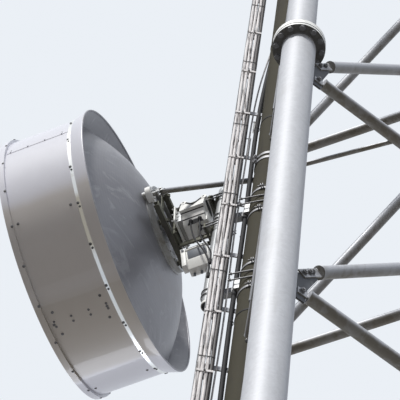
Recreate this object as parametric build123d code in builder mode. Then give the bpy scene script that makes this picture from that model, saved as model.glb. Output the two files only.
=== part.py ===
from build123d import *
import os
from math import atan2, cos, degrees, radians, sin, sqrt, tan

os.makedirs("parts", exist_ok=True)

# All sizes are in millimetres, +Z is up and the origin is the middle of leg A's foot.

# Tower outline: three legs on an equilateral plan, leaning inwards
BASE_SPACING = 3750.0
TAPER = 0.067
FIRST_NODE = 350.0
BAY_HEIGHT = 3700.0
BAYS = 6
LEG_ABOVE_LAST_NODE = 500.0
NODES = [FIRST_NODE + BAY_HEIGHT * n for n in range(BAYS + 1)]
LEG_TOP = NODES[-1] + LEG_ABOVE_LAST_NODE

# Leg tubes: three bolted lengths each. Legs A and B step down in diameter;
# leg C carries the dish, keeps its size all the way and has its splices lower.
LEG_RADII = [149.5, 136.5, 122.5]
SPLICE_NODES = [2, 4]
SPLICE_ABOVE_NODE = 434.0
LADDER_LEG_RADII = [149.5, 149.5, 149.5]
LADDER_LEG_SPLICE_NODES = [1, 3]
LADDER_LEG_SPLICE_ABOVE_NODE = 404.0
RING_RADIUS = 214.0
RING_THICK = 36.0
TOP_PLATE_RADIUS = 165.0
TOP_PLATE_THICK = 16.0

# Feet
BASE_RADIUS = 280.0
BASE_THICK = 30.0
ANCHOR_PCD = 420.0
ANCHOR_HOLE_RADIUS = 16.5
ANCHOR_COUNT = 4
RIB_THICK = 14.0
RIB_REACH = 265.0
RIB_TOE = 30.0
RIB_HEIGHT = 170.0
RIB_NECK = 165.0
RIB_ROOT = 115.0

# Bracing tubes, their flat tongues and the gusset plates
BRACE_RADIUS = 47.5
TONGUE_THICK = 12.0
TONGUE_WIDTH = 76.0
TONGUE_IN_TUBE = 120.0
TONGUE_GAP = 30.0
GUSSET_THICK = 14.0
LAP_OFFSET = (GUSSET_THICK + TONGUE_THICK) / 2
HORIZONTAL_START = 255.0
DIAGONAL_START = 565.0
GUSSET_BELOW = 100.0
GUSSET_REACH = 230.0
GUSSET_KNEE = (255.0, 100.0)
GUSSET_TIP_ALONG = 490.0
GUSSET_TIP_HALF = 54.0
GUSSET_SHOULDER = (236.0, 305.0)
GUSSET_ROOT_TOP = 240.0
GUSSET_ROOT_GAP = 0.05
PLAN_BRACE_RADIUS = 19.0
PLAN_BRACE_NODE = 4
PLAN_BRACE_FROM_LEG = (1020.0, 930.0)

# Cable ladder on leg C, in that leg's own frame:
# U points away from the face CA, V along that face, W up the leg
STILE_INNER = 268.0
STILE_OUTER = 414.0
STILE_THICK = 8.0
STILE_DEPTH = 38.0
LADDER_BOTTOM = 250.0
LADDER_TOP = LEG_TOP - 100.0
RUNG_HEIGHT = 40.0
RUNG_THICK = 6.0
RUNG_PITCH = 478.5
RUNG_FIRST = LADDER_BOTTOM + 211.0
RUNG_COUNT = int((LADDER_TOP - RUNG_FIRST) // RUNG_PITCH) + 1
ARM_FIRST = LADDER_BOTTOM + 450.0
ARM_PITCH = 2 * RUNG_PITCH
ARM_COUNT = 21
TOP_ARM = LADDER_TOP - 150.0
ARM_HEIGHT = 60.0
ARM_THICK = 12.0
CABLE_RADIUS = 16.5
CABLE_PITCH = 34.0
CABLE_COLUMNS = 4
CABLE_ROWS = 2
CABLE_MIDDLE_U = 345.0
CABLE_ROW_PITCH = 39.0
CABLE_BOTTOM = LADDER_BOTTOM + 50.0
CABLE_TOP = LADDER_TOP - 100.0
HANGER_STEM = 6.0
HANGER_STRIP = 6.0
HANGER_HEIGHT = 30.0
HANGER_COUNT = (RUNG_COUNT + 1) // 2

# Level of the dish's middle up leg C
DISH_NODE = 4
DISH_LEVEL = NODES[DISH_NODE] + 2709.3

# Mount pipe, parallel to leg C
PIPE_U = 400.0
PIPE_V = -165.0
PIPE_RADIUS = 57.0
PIPE_BORE = 51.0
PIPE_BOTTOM = DISH_LEVEL - 1649.3
PIPE_TOP = DISH_LEVEL + 470.7
STANDOFF_LEVELS = [DISH_LEVEL - 1479.3, DISH_LEVEL - 86.3]
STANDOFF_WIDTH = 60.0
STANDOFF_HEIGHT = 80.0
LEG_SADDLE = (130.0, 178.0, 170.0, 160.0)
PIPE_SADDLE = (340.0, 400.0, 100.0, 120.0)

# Dish: a shrouded antenna whose lip plane faces the tower.
# Lengths along its axis count from the lip plane, positive to the rear.
LIP_U = 1151.15
LIP_V = -562.54
DISH_FRONT = (-0.4988, 0.8650, -0.0541)
BOWL_RADIUS = 1250.0
DOME_RADIUS = BOWL_RADIUS - 60.0
BOWL_RIM = -150.0
BOWL_APEX = 324.0
BOWL_INNER_RIM = -172.0
BOWL_SKIN = 8.0
SHROUD_RADIUS = BOWL_RADIUS + 20.0
SHROUD_SKIN = 6.0
SKIRT_RADIUS = SHROUD_RADIUS + 6.0
SKIRT_FRONT = -130.0
LIP_RADIUS = SKIRT_RADIUS + 30.0
BEAD_RADIUS = 10.0
BAND_RADIUS = SHROUD_RADIUS + 30.0
BAND_REAR = -790.0
BAND_FRONT = -850.0
RADOME_THICK = 6.0
RADOME_RADIUS = BAND_RADIUS - 10.0
STRIP_THICK = 6.0
STRIP_FRONT = -162.0

# Back ring and mount frame of the dish
HUB_OUTER = 430.0
HUB_INNER = 340.0
HUB_REAR = 330.0
HUB_SEAT = 0.8
BOSS_RADIUS = 80.0
BOSS_AT = (-430.0, -100.0)
BOSS_FRONT = 200.0
BOSS_REAR = 312.0
BOSS_GAP = 0.05
STEM_RADIUS = 22.0
CLEVIS_FRONT = 388.0
CLEVIS_REAR = 450.0
CLEVIS_HALF = 30.0
STRUT_IN_CLEVIS = 13.0
STRUT_RADIUS = 20.0
STRUT_LEG_END = (55.0, -130.0, DISH_LEVEL + 800.7)
FRAME_FRONT = 362.0
FRAME_REAR = 412.0
FRAME_HALF_WIDTH = 268.0
FRAME_LEVELS = (220.0, -340.0)
CENTRE_PLATE_HALF = 90.0
CENTRE_PLATE_REAR = 430.0
CHANNEL_HEIGHT = 80.0
CHANNEL_WALL = 8.0
TIE_AT = 230.0
TIE_ENDS = (-380.0, 340.0)
TIE_WIDTH = 60.0
SPACER_RADIUS = 26.0
SPACERS = [(-230.0, 305.0), (230.0, 305.0), (-230.0, -305.0), (230.0, -305.0)]
ARM_PLATE_THICK = 18.0
ARM_PLATE_SPAN = (-75.0, 135.0)
ARM_PLATE_REAR = (836.0, 790.0)
MOUNT_SADDLE = (60.0, 60.0, 100.0)
MOUNT_SADDLE_FRONT = (775.0, 727.0)
CLAMP_BLOCK_FRONT = (905.0, 856.0)
CLAMP_BLOCK_REAR = (955.0, 906.0)

# Radio unit between the back frame and the pipe, and a second box on the pipe
RADIO_ACROSS = (-168.0, 168.0)
RADIO_UP = (-250.0, 110.0)
RADIO_BACK = (430.0, 745.0)
RADIO_ROUND = 22.0
BOX_ACROSS = (-20.0, 110.0)
BOX_UP = (-930.0, -740.0)
BOX_BACK = (520.0, 730.0)
BOX_ROUND = 10.0

# Jumpers and the joints on the ladder's outer stile where they end
JUMPER_RADIUS = 8.0
JOINT_SIZE = (30.0, 24.0, 90.0)
LONG_JOINT = (-38.0, DISH_LEVEL - 1269.3)
SHORT_JOINT = (-12.0, DISH_LEVEL - 1069.3)
JUMPER_ACROSS = -110.0
LONG_BACK = 600.0
SHORT_BACK = 690.0
ARC_SHARE = 0.45

# Legs A and B stand on the X axis, leg C behind them
FEET = [
    Vector(0, 0, 0),
    Vector(BASE_SPACING, 0, 0),
    Vector(BASE_SPACING / 2, BASE_SPACING * sqrt(3) / 2, 0),
]
CENTRE = (FEET[0] + FEET[1] + FEET[2]) * (1 / 3)
A, B, C = 0, 1, 2
UP = Vector(0, 0, 1)
LEG_STRETCH = sqrt(1 + TAPER * TAPER / 3)
FACE_STRETCH = sqrt(1 + TAPER * TAPER / 12)


def leg_plane(leg, height=0.0):
    """Plane across a leg at a height on its axis; its Z runs up the leaning axis."""
    inward = (CENTRE - FEET[leg]).normalized()
    axis = (UP + inward * (TAPER / sqrt(3))).normalized()
    middle = FEET[leg] + axis * (height * LEG_STRETCH)
    side = UP.cross(inward)
    return Plane(origin=middle, x_dir=side, z_dir=axis)


def seam(leg, index):
    """Height of a splice on a leg's axis."""
    if leg == C:
        return NODES[LADDER_LEG_SPLICE_NODES[index]] + LADDER_LEG_SPLICE_ABOVE_NODE
    return NODES[SPLICE_NODES[index]] + SPLICE_ABOVE_NODE


def length_radius(leg, index):
    """Outer radius of one of a leg's three lengths, counted from below."""
    return LADDER_LEG_RADII[index] if leg == C else LEG_RADII[index]


def leg_radius(leg, height):
    """Outer radius of a leg's tube at a height."""
    if height < seam(leg, 0):
        return length_radius(leg, 0)
    if height < seam(leg, 1):
        return length_radius(leg, 1)
    return length_radius(leg, 2)


def tube(plane, radius, length, mode=Mode.ADD):
    """Round bar that starts on a plane and runs along its Z."""
    with BuildSketch(plane) as section:
        Circle(radius)
    extrude(section.sketch, amount=length, mode=mode)


def hollow(plane, radius, bore, length):
    """Round bar with a bore right through it."""
    with BuildSketch(plane) as section:
        Circle(radius)
        Circle(bore, mode=Mode.SUBTRACT)
    extrude(section.sketch, amount=length)


def leg_length(leg, index):
    """One of a leg's three lengths of tube, counted from below."""
    ends = [0, seam(leg, 0), seam(leg, 1), LEG_TOP]
    reach = (ends[index + 1] - ends[index]) * LEG_STRETCH
    tube(leg_plane(leg, ends[index]), length_radius(leg, index), reach)


def cut_leg(leg, bottom, top):
    """Take the leg's tube away from what is being built."""
    seams = [seam(leg, n) for n in (0, 1) if bottom < seam(leg, n) < top]
    bounds = [bottom] + seams + [top]
    for low, high in zip(bounds, bounds[1:]):
        radius = leg_radius(leg, (low + high) / 2)
        length = (high - low) * LEG_STRETCH
        tube(leg_plane(leg, low), radius, length, mode=Mode.SUBTRACT)


def foot_plate(leg):
    """Round base plate with its ring of anchor holes."""
    with BuildSketch(Plane(origin=FEET[leg])) as outline:
        Circle(BASE_RADIUS)
        with PolarLocations(ANCHOR_PCD / 2, ANCHOR_COUNT, start_angle=hole_angle(leg)):
            Circle(ANCHOR_HOLE_RADIUS, mode=Mode.SUBTRACT)
    extrude(outline.sketch, amount=BASE_THICK)


def hole_angle(leg):
    """Plan angle of the first anchor hole, towards the middle of the tower."""
    inward = CENTRE - FEET[leg]
    return degrees(atan2(inward.Y, inward.X))


def foot_ribs(leg):
    """Upright stiffeners between the leg and its base plate, between the holes."""
    step = 360 / ANCHOR_COUNT
    for n in range(ANCHOR_COUNT):
        angle = radians(hole_angle(leg) + step * (n + 0.5))
        along = Vector(cos(angle), sin(angle), 0)
        plane = Plane(origin=FEET[leg] + UP * BASE_THICK, x_dir=along, z_dir=along.cross(UP))
        with BuildSketch(plane) as outline:
            with BuildLine():
                Polyline(
                    (RIB_ROOT, 0),
                    (RIB_REACH, 0),
                    (RIB_REACH, RIB_TOE),
                    (RIB_NECK, RIB_HEIGHT),
                    (RIB_ROOT, RIB_HEIGHT),
                    close=True,
                )
            make_face()
        extrude(outline.sketch, amount=RIB_THICK / 2, both=True)
    cut_leg(leg, 0, NODES[0])


def splice_rings(over):
    """One flange ring of every splice: the upper one when over is 1, else the lower."""
    for leg in (A, B, C):
        for index in (0, 1):
            offset = 0 if over else -RING_THICK / LEG_STRETCH
            plane = leg_plane(leg, seam(leg, index) + offset)
            hollow(plane, RING_RADIUS, length_radius(leg, index + over), RING_THICK)


def face_plane(left, right):
    """Plane through two leg axes: X along the feet, Y up the face, Z outwards."""
    along = (FEET[right] - FEET[left]).normalized()
    middle = (FEET[left] + FEET[right]) * 0.5
    inward = (CENTRE - middle).normalized()
    up_face = (UP + inward * (TAPER / (2 * sqrt(3)))).normalized()
    return Plane(origin=FEET[left], x_dir=along, z_dir=along.cross(up_face))


def face_point(side, height):
    """Point of a leg axis in its face; side 1 is the left leg, -1 the right one."""
    lean = TAPER / 2 * height
    x = lean if side > 0 else BASE_SPACING - lean
    return (x, height * FACE_STRETCH)


def diagonal_direction(lower_node):
    """Unit direction of a diagonal, as it leaves the left leg."""
    start = face_point(1, NODES[lower_node])
    end = face_point(-1, NODES[lower_node + 1])
    dx, dy = end[0] - start[0], end[1] - start[1]
    length = sqrt(dx * dx + dy * dy)
    return dx / length, dy / length


def gusset_outline(leg, node, rise):
    """Outline of a gusset: U away from the leg axis, V up the face."""
    slope = TAPER / 2
    radius = leg_radius(leg, NODES[node]) * sqrt(1 + slope * slope) + GUSSET_ROOT_GAP

    def root(v):
        return (radius + v * slope, v)

    if rise == 0:
        corners = [(GUSSET_REACH, -GUSSET_BELOW), (GUSSET_REACH, GUSSET_BELOW)]
        return [root(-GUSSET_BELOW)] + corners + [root(GUSSET_BELOW)]
    dx, dy = diagonal_direction(node if rise > 0 else node - 1)
    tip = (dx * GUSSET_TIP_ALONG, dy * GUSSET_TIP_ALONG)
    lower_tip = (tip[0] + dy * GUSSET_TIP_HALF, tip[1] - dx * GUSSET_TIP_HALF)
    upper_tip = (tip[0] - dy * GUSSET_TIP_HALF, tip[1] + dx * GUSSET_TIP_HALF)
    corners = [
        (GUSSET_REACH, -GUSSET_BELOW),
        GUSSET_KNEE,
        lower_tip,
        upper_tip,
        GUSSET_SHOULDER,
    ]
    mirrored = [(u, v * rise) for u, v in corners]
    return [root(-GUSSET_BELOW * rise)] + mirrored + [root(GUSSET_ROOT_TOP * rise)]


def gusset(face, legs, node, side, rise):
    """One gusset plate on the left (side 1) or right (side -1) leg of a face."""
    x, y = face_point(side, NODES[node])
    leg = legs[0] if side > 0 else legs[1]
    corners = [(x + side * u, y + v) for u, v in gusset_outline(leg, node, rise)]
    with BuildSketch(face) as outline:
        with BuildLine():
            Polyline(*corners, close=True)
        make_face()
    extrude(outline.sketch, amount=GUSSET_THICK / 2, both=True)


def face_gussets(face, legs, falling):
    """All gussets of a face; falling is 1 where the diagonals rise from the left leg."""
    for node in range(BAYS + 1):
        if node < BAYS:
            gusset(face, legs, node, falling, 1)
        else:
            gusset(face, legs, node, falling, 0)
        if node > 0:
            gusset(face, legs, node, -falling, -1)


def bar(face, start, end, tube_start, tongue_start):
    """Tube with a flat tongue lapped on the outer side of the gusset at each end."""
    first = face.from_local_coords((start[0], start[1], LAP_OFFSET))
    last = face.from_local_coords((end[0], end[1], LAP_OFFSET))
    reach = (last - first).length
    along = (last - first).normalized()
    plane = Plane(origin=first + along * tube_start, x_dir=face.z_dir, z_dir=along)
    tube(plane, BRACE_RADIUS, reach - 2 * tube_start)
    tongue_length = tube_start + TONGUE_IN_TUBE - tongue_start
    far = reach - tube_start - TONGUE_IN_TUBE
    for begin in (tongue_start, far):
        plane = Plane(origin=first + along * begin, x_dir=face.z_dir, z_dir=along)
        with BuildSketch(plane) as section:
            Rectangle(TONGUE_THICK, TONGUE_WIDTH)
        extrude(section.sketch, amount=tongue_length)


def face_horizontals(face, legs):
    """Level tubes of a face, one at each node above the first."""
    for node in range(1, BAYS + 1):
        tongue_start = max(leg_radius(leg, NODES[node]) for leg in legs) + TONGUE_GAP
        ends = [face_point(1, NODES[node]), face_point(-1, NODES[node])]
        bar(face, ends[0], ends[1], HORIZONTAL_START, tongue_start)


def face_diagonals(face, legs, falling):
    """Sloping tubes of a face, all leaning the same way; tongues stop clear of the legs."""
    for node in range(BAYS):
        start = face_point(falling, NODES[node])
        end = face_point(-falling, NODES[node + 1])
        dx, dy = diagonal_direction(node)
        widest = max(leg_radius(leg, NODES[node]) for leg in legs)
        tongue_start = (widest + TONGUE_GAP + TONGUE_WIDTH / 2 * dy) / dx
        bar(face, start, end, DIAGONAL_START, tongue_start)


def horizontal_axis(face, distance, side):
    """Point on the axis of the level tube that the plan brace meets."""
    x, y = face_point(side, NODES[PLAN_BRACE_NODE])
    return face.from_local_coords((x + side * distance, y, LAP_OFFSET))


def level_cut(face):
    """Take the level tube of the plan brace's node away from what is being built."""
    start = face_point(1, NODES[PLAN_BRACE_NODE])
    first = face.from_local_coords((start[0], start[1], LAP_OFFSET))
    plane = Plane(origin=first, x_dir=face.z_dir, z_dir=face.x_dir)
    tube(plane, BRACE_RADIUS, BASE_SPACING, mode=Mode.SUBTRACT)


FACE_AB = face_plane(A, B)
FACE_BC = face_plane(B, C)
FACE_CA = face_plane(C, A)

# Leg C's own frame: X is U, away from the face CA, Y is V, along that face
CA_OUT = (FEET[A] + FEET[C]) * 0.5 - CENTRE
LEG_C_AXIS = leg_plane(C).z_dir
U_DIRECTION = (CA_OUT - LEG_C_AXIS * CA_OUT.dot(LEG_C_AXIS)).normalized()
LEG_C = Plane(origin=FEET[C], x_dir=U_DIRECTION, z_dir=LEG_C_AXIS)
STANDOFF_REACH = sqrt(PIPE_U * PIPE_U + PIPE_V * PIPE_V)


def leg_box(u, v, w, mode=Mode.ADD):
    """Box in leg C's frame from three (low, high) spans."""
    with BuildSketch(LEG_C.offset(w[0])) as section:
        with Locations(((u[0] + u[1]) / 2, (v[0] + v[1]) / 2)):
            Rectangle(u[1] - u[0], v[1] - v[0])
    extrude(section.sketch, amount=w[1] - w[0], mode=mode)


def ladder():
    """Two flat stiles with flat rungs between them."""
    depth = (-STILE_DEPTH, 0)
    height = (LADDER_BOTTOM, LADDER_TOP)
    leg_box((STILE_INNER, STILE_INNER + STILE_THICK), depth, height)
    leg_box((STILE_OUTER, STILE_OUTER + STILE_THICK), depth, height)
    for n in range(RUNG_COUNT):
        middle = RUNG_FIRST + RUNG_PITCH * n
        level = (middle - RUNG_HEIGHT / 2, middle + RUNG_HEIGHT / 2)
        leg_box((STILE_INNER, STILE_OUTER + STILE_THICK), (-RUNG_THICK, 0), level)


def ladder_brackets():
    """Flat arms that hold the ladder off leg C, behind the stiles."""
    back = (-STILE_DEPTH - ARM_THICK, -STILE_DEPTH)
    middles = [ARM_FIRST + ARM_PITCH * n for n in range(ARM_COUNT)] + [TOP_ARM]
    for middle in middles:
        level = (middle - ARM_HEIGHT / 2, middle + ARM_HEIGHT / 2)
        leg_box((BRACE_RADIUS, STILE_OUTER + STILE_THICK), back, level)
    cut_leg(C, BASE_THICK, LEG_TOP)


def cable_place(column, row):
    """U and V of one cable; the hanger's stem stands in the middle gap."""
    offset = column - (CABLE_COLUMNS - 1) / 2
    stem_side = HANGER_STEM / 2 if offset > 0 else -HANGER_STEM / 2
    u = CABLE_MIDDLE_U + CABLE_PITCH * offset + stem_side
    return u, CABLE_RADIUS + CABLE_ROW_PITCH * row


def cables():
    """Two rows of feeder cables that run up the ladder."""
    for column in range(CABLE_COLUMNS):
        for row in range(CABLE_ROWS):
            u, v = cable_place(column, row)
            start = LEG_C.from_local_coords((u, v, CABLE_BOTTOM))
            plane = Plane(origin=start, x_dir=LEG_C.x_dir, z_dir=LEG_C.z_dir)
            tube(plane, CABLE_RADIUS, CABLE_TOP - CABLE_BOTTOM)


def hangers():
    """Clamps on every other rung: a stem with a strip over each row of cables."""
    half = CABLE_PITCH * CABLE_COLUMNS / 2 + HANGER_STEM
    across = (CABLE_MIDDLE_U - half, CABLE_MIDDLE_U + half)
    stem = (CABLE_MIDDLE_U - HANGER_STEM / 2, CABLE_MIDDLE_U + HANGER_STEM / 2)
    top = CABLE_ROW_PITCH * CABLE_ROWS
    for n in range(HANGER_COUNT):
        middle = RUNG_FIRST + 2 * RUNG_PITCH * n
        level = (middle - HANGER_HEIGHT / 2, middle + HANGER_HEIGHT / 2)
        leg_box(stem, (0, top), level)
        for row in range(CABLE_ROWS):
            over = CABLE_ROW_PITCH * (row + 1)
            leg_box(across, (over - HANGER_STRIP, over), level)


def jumper_joint(v, top):
    """Joint on the outer face of the outer stile, under a jumper's end."""
    face = STILE_OUTER + STILE_THICK
    level = (top - JOINT_SIZE[2], top)
    leg_box((face, face + JOINT_SIZE[0]), (v - JOINT_SIZE[1] / 2, v + JOINT_SIZE[1] / 2), level)


def pipe_plane(w):
    """Plane across the mount pipe; X points away from leg C."""
    away = (LEG_C.x_dir * PIPE_U + LEG_C.y_dir * PIPE_V).normalized()
    start = LEG_C.from_local_coords((PIPE_U, PIPE_V, w))
    return Plane(origin=start, x_dir=away, z_dir=LEG_C.z_dir)


def cut_pipe():
    """Take the mount pipe's outside away from what is being built."""
    tube(pipe_plane(PIPE_BOTTOM), PIPE_RADIUS, PIPE_TOP - PIPE_BOTTOM, mode=Mode.SUBTRACT)


def standoff_block(level, near, far, width, height):
    """Block on the line from leg C to the pipe, between two distances from the leg."""
    plane = pipe_plane(level - height / 2)
    with BuildSketch(plane) as section:
        with Locations(((near + far) / 2 - STANDOFF_REACH, 0)):
            Rectangle(far - near, width)
    extrude(section.sketch, amount=height)


def standoffs():
    """Bars with saddles that hold the pipe off leg C."""
    for level in STANDOFF_LEVELS:
        standoff_block(level, LEG_SADDLE[0], PIPE_SADDLE[1], STANDOFF_WIDTH, STANDOFF_HEIGHT)
        standoff_block(level, *LEG_SADDLE)
        standoff_block(level, *PIPE_SADDLE)
    cut_leg(C, seam(C, 1), LEG_TOP)
    cut_pipe()


# The dish's own frame: X across, Y up, Z to the rear along its axis
REAR = Vector(*DISH_FRONT).normalized() * -1
LIP_CENTRE = LEG_C.from_local_coords((LIP_U, LIP_V, DISH_LEVEL))
ACROSS = UP.cross(REAR).normalized()
DISH = Plane(origin=LIP_CENTRE, x_dir=ACROSS, z_dir=REAR)
DISH_AXIS = Axis(origin=LIP_CENTRE, direction=REAR)
DISH_RADIAL = Plane(origin=LIP_CENTRE, x_dir=ACROSS, z_dir=ACROSS.cross(REAR))


def spin(corners):
    """Ring with a straight-sided section, spun about the dish axis."""
    with BuildSketch(DISH_RADIAL) as section:
        with BuildLine():
            Polyline(*corners, close=True)
        make_face()
    revolve(section.sketch, axis=DISH_AXIS)


def band(inner, outer, front, rear):
    """Plain ring about the dish axis."""
    spin([(inner, front), (outer, front), (outer, rear), (inner, rear)])


def ball_radius(apex=BOWL_APEX, rim=BOWL_RIM):
    """Radius of the ball that a bowl is a cap of."""
    depth = apex - rim
    return (DOME_RADIUS * DOME_RADIUS + depth * depth) / (2 * depth)


def bowl_height(radius, apex=BOWL_APEX, rim=BOWL_RIM):
    """Height over the lip plane of a round bowl with its middle on the dish axis."""
    ball = ball_radius(apex, rim)
    return apex - ball + sqrt(ball * ball - radius * radius)


def dish_box(across, up, back, mode=Mode.ADD):
    """Box in the dish's frame from three (low, high) spans."""
    with BuildSketch(DISH.offset(back[0])) as section:
        with Locations(((across[0] + across[1]) / 2, (up[0] + up[1]) / 2)):
            Rectangle(across[1] - across[0], up[1] - up[0])
    extrude(section.sketch, amount=back[1] - back[0], mode=mode)


def reflector():
    """Spun bowl with a valley inside its rolled lip and a skirt outside it."""
    half = DOME_RADIUS / 2
    inner_apex = BOWL_APEX - BOWL_SKIN
    with BuildSketch(DISH_RADIAL) as section:
        with BuildLine():
            ThreePointArc((0, BOWL_APEX), (half, bowl_height(half)), (DOME_RADIUS, BOWL_RIM))
            Line((DOME_RADIUS, BOWL_RIM), (LIP_RADIUS - BEAD_RADIUS, 0))
            ThreePointArc(
                (LIP_RADIUS - BEAD_RADIUS, 0),
                (LIP_RADIUS, BEAD_RADIUS),
                (LIP_RADIUS + BEAD_RADIUS, 0),
            )
            Line((LIP_RADIUS + BEAD_RADIUS, 0), (SKIRT_RADIUS, SKIRT_FRONT))
            Line((SKIRT_RADIUS, SKIRT_FRONT), (BOWL_RADIUS, SKIRT_FRONT))
            Line((BOWL_RADIUS, SKIRT_FRONT), (DOME_RADIUS, BOWL_INNER_RIM))
            ThreePointArc(
                (DOME_RADIUS, BOWL_INNER_RIM),
                (half, bowl_height(half, inner_apex, BOWL_INNER_RIM)),
                (0, inner_apex),
            )
            Line((0, inner_apex), (0, BOWL_APEX))
        make_face()
    revolve(section.sketch, axis=DISH_AXIS)


def dish_rod(at, front, rear, radius):
    """Round bar along the dish axis direction at a point across the dish."""
    start = DISH.from_local_coords((at[0], at[1], front))
    tube(Plane(origin=start, x_dir=DISH.x_dir, z_dir=DISH.z_dir), radius, rear - front)


def boss():
    """Round boss that sits on the bowl, with a stem behind it."""
    dish_rod(BOSS_AT, BOSS_FRONT, BOSS_REAR, BOSS_RADIUS)
    middle = DISH.from_local_coords((0, 0, BOWL_APEX - ball_radius()))
    with Locations(middle):
        Sphere(ball_radius() + BOSS_GAP, mode=Mode.SUBTRACT)
    dish_rod(BOSS_AT, BOSS_REAR, CLEVIS_FRONT, STEM_RADIUS)


def back_ring():
    """Ring on the back of the bowl, with the boss and clevis of the side strut."""
    boss()
    inner_foot = bowl_height(HUB_INNER) + HUB_SEAT
    outer_foot = bowl_height(HUB_OUTER) + HUB_SEAT
    spin([
        (HUB_INNER, inner_foot),
        (HUB_OUTER, outer_foot),
        (HUB_OUTER, HUB_REAR),
        (HUB_INNER, HUB_REAR),
    ])
    clevis()


def channel(level):
    """Level channel of the back frame, open towards the dish."""
    span = (-FRAME_HALF_WIDTH, FRAME_HALF_WIDTH)
    low, high = level - CHANNEL_HEIGHT / 2, level + CHANNEL_HEIGHT / 2
    dish_box(span, (low, high), (FRAME_REAR - CHANNEL_WALL, FRAME_REAR))
    dish_box(span, (low, low + CHANNEL_WALL), (FRAME_FRONT, FRAME_REAR))
    dish_box(span, (high - CHANNEL_WALL, high), (FRAME_FRONT, FRAME_REAR))


def back_frame():
    """Channels and ties behind the ring, with two arms to the pipe's saddles."""
    for level in FRAME_LEVELS:
        channel(level)
    across = (-CENTRE_PLATE_HALF, CENTRE_PLATE_HALF)
    between = (FRAME_LEVELS[1], FRAME_LEVELS[0])
    dish_box(across, between, (FRAME_REAR - CHANNEL_WALL, CENTRE_PLATE_REAR))
    for side in (-TIE_AT, TIE_AT):
        across = (side - TIE_WIDTH / 2, side + TIE_WIDTH / 2)
        dish_box(across, TIE_ENDS, (FRAME_FRONT - CHANNEL_WALL, FRAME_FRONT))
    for at in SPACERS:
        dish_rod(at, HUB_REAR, FRAME_FRONT, SPACER_RADIUS)
    middle = sum(ARM_PLATE_SPAN) / 2
    for n, level in enumerate(FRAME_LEVELS):
        up = (level - ARM_PLATE_THICK / 2, level + ARM_PLATE_THICK / 2)
        dish_box(ARM_PLATE_SPAN, up, (FRAME_REAR, ARM_PLATE_REAR[n]))
        across = (middle - MOUNT_SADDLE[0], middle + MOUNT_SADDLE[1])
        tall = (level - MOUNT_SADDLE[2] / 2, level + MOUNT_SADDLE[2] / 2)
        dish_box(across, tall, (MOUNT_SADDLE_FRONT[n], ARM_PLATE_REAR[n]))
    cut_pipe()


def clamp_blocks():
    """Blocks on the far side of the pipe, opposite the frame's saddles."""
    middle = sum(ARM_PLATE_SPAN) / 2
    across = (middle - MOUNT_SADDLE[0], middle + MOUNT_SADDLE[1])
    for n, level in enumerate(FRAME_LEVELS):
        tall = (level - MOUNT_SADDLE[2] / 2, level + MOUNT_SADDLE[2] / 2)
        dish_box(across, tall, (CLAMP_BLOCK_FRONT[n], CLAMP_BLOCK_REAR[n]))
    cut_pipe()


def clevis(mode=Mode.ADD):
    """Block on the boss's stem that holds the side strut."""
    across = (BOSS_AT[0] - CLEVIS_HALF, BOSS_AT[0] + CLEVIS_HALF)
    up = (BOSS_AT[1] - CLEVIS_HALF, BOSS_AT[1] + CLEVIS_HALF)
    dish_box(across, up, (CLEVIS_FRONT, CLEVIS_REAR), mode)


def strut():
    """Thin tube from the clevis on the back ring to leg C."""
    back = CLEVIS_REAR - STRUT_IN_CLEVIS
    first = DISH.from_local_coords((BOSS_AT[0], BOSS_AT[1], back))
    last = LEG_C.from_local_coords(STRUT_LEG_END)
    along = last - first
    plane = Plane(origin=first, x_dir=UP.cross(along).normalized(), z_dir=along.normalized())
    tube(plane, STRUT_RADIUS, along.length)
    clevis(Mode.SUBTRACT)
    cut_leg(C, seam(C, 1), LEG_TOP)


def bend_radii(points):
    """Radius of each bend: as large as the shorter of its two runs allows."""
    radii = []
    for before, here, after in zip(points, points[1:], points[2:]):
        first, second = here - before, after - here
        shorter = min(first.length, second.length)
        half_turn = radians(first.get_angle(second) / 2)
        radii.append(ARC_SHARE * shorter / tan(half_turn))
    return radii


def cable_run(points, radius):
    """Round cable swept along straight runs joined by bends."""
    radii = bend_radii(points)
    print("bend radii in mm:", [round(bend) for bend in radii])
    with BuildLine() as route:
        FilletPolyline(*points, radius=radii)
    start = Plane(origin=route.line @ 0, z_dir=route.line % 0)
    with BuildSketch(start) as section:
        Circle(radius)
    sweep(section.sketch, path=route.line)


def dish_point(across, up, back):
    """Point in the dish's frame."""
    return DISH.from_local_coords((across, up, back))


def leg_point(u, v, w):
    """Point in leg C's frame."""
    return LEG_C.from_local_coords((u, v, w))


# Feet and legs
with BuildPart() as base_plate_a:
    foot_plate(A)
base_plate_a.part.label = "base_plate_a"
export_step(base_plate_a.part, "parts/base_plate_a.step")

with BuildPart() as base_plate_b:
    foot_plate(B)
base_plate_b.part.label = "base_plate_b"
export_step(base_plate_b.part, "parts/base_plate_b.step")

with BuildPart() as base_plate_c:
    foot_plate(C)
base_plate_c.part.label = "base_plate_c"
export_step(base_plate_c.part, "parts/base_plate_c.step")

with BuildPart() as base_ribs:
    foot_ribs(A)
    foot_ribs(B)
    foot_ribs(C)
base_ribs.part.label = "base_ribs"
export_step(base_ribs.part, "parts/base_ribs.step")

with BuildPart() as leg_a_lower:
    leg_length(A, 0)
    split(bisect_by=Plane.XY.offset(BASE_THICK), keep=Keep.TOP)
leg_a_lower.part.label = "leg_a_lower"
export_step(leg_a_lower.part, "parts/leg_a_lower.step")

with BuildPart() as leg_b_lower:
    leg_length(B, 0)
    split(bisect_by=Plane.XY.offset(BASE_THICK), keep=Keep.TOP)
leg_b_lower.part.label = "leg_b_lower"
export_step(leg_b_lower.part, "parts/leg_b_lower.step")

with BuildPart() as leg_c_lower:
    leg_length(C, 0)
    split(bisect_by=Plane.XY.offset(BASE_THICK), keep=Keep.TOP)
leg_c_lower.part.label = "leg_c_lower"
export_step(leg_c_lower.part, "parts/leg_c_lower.step")

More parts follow.
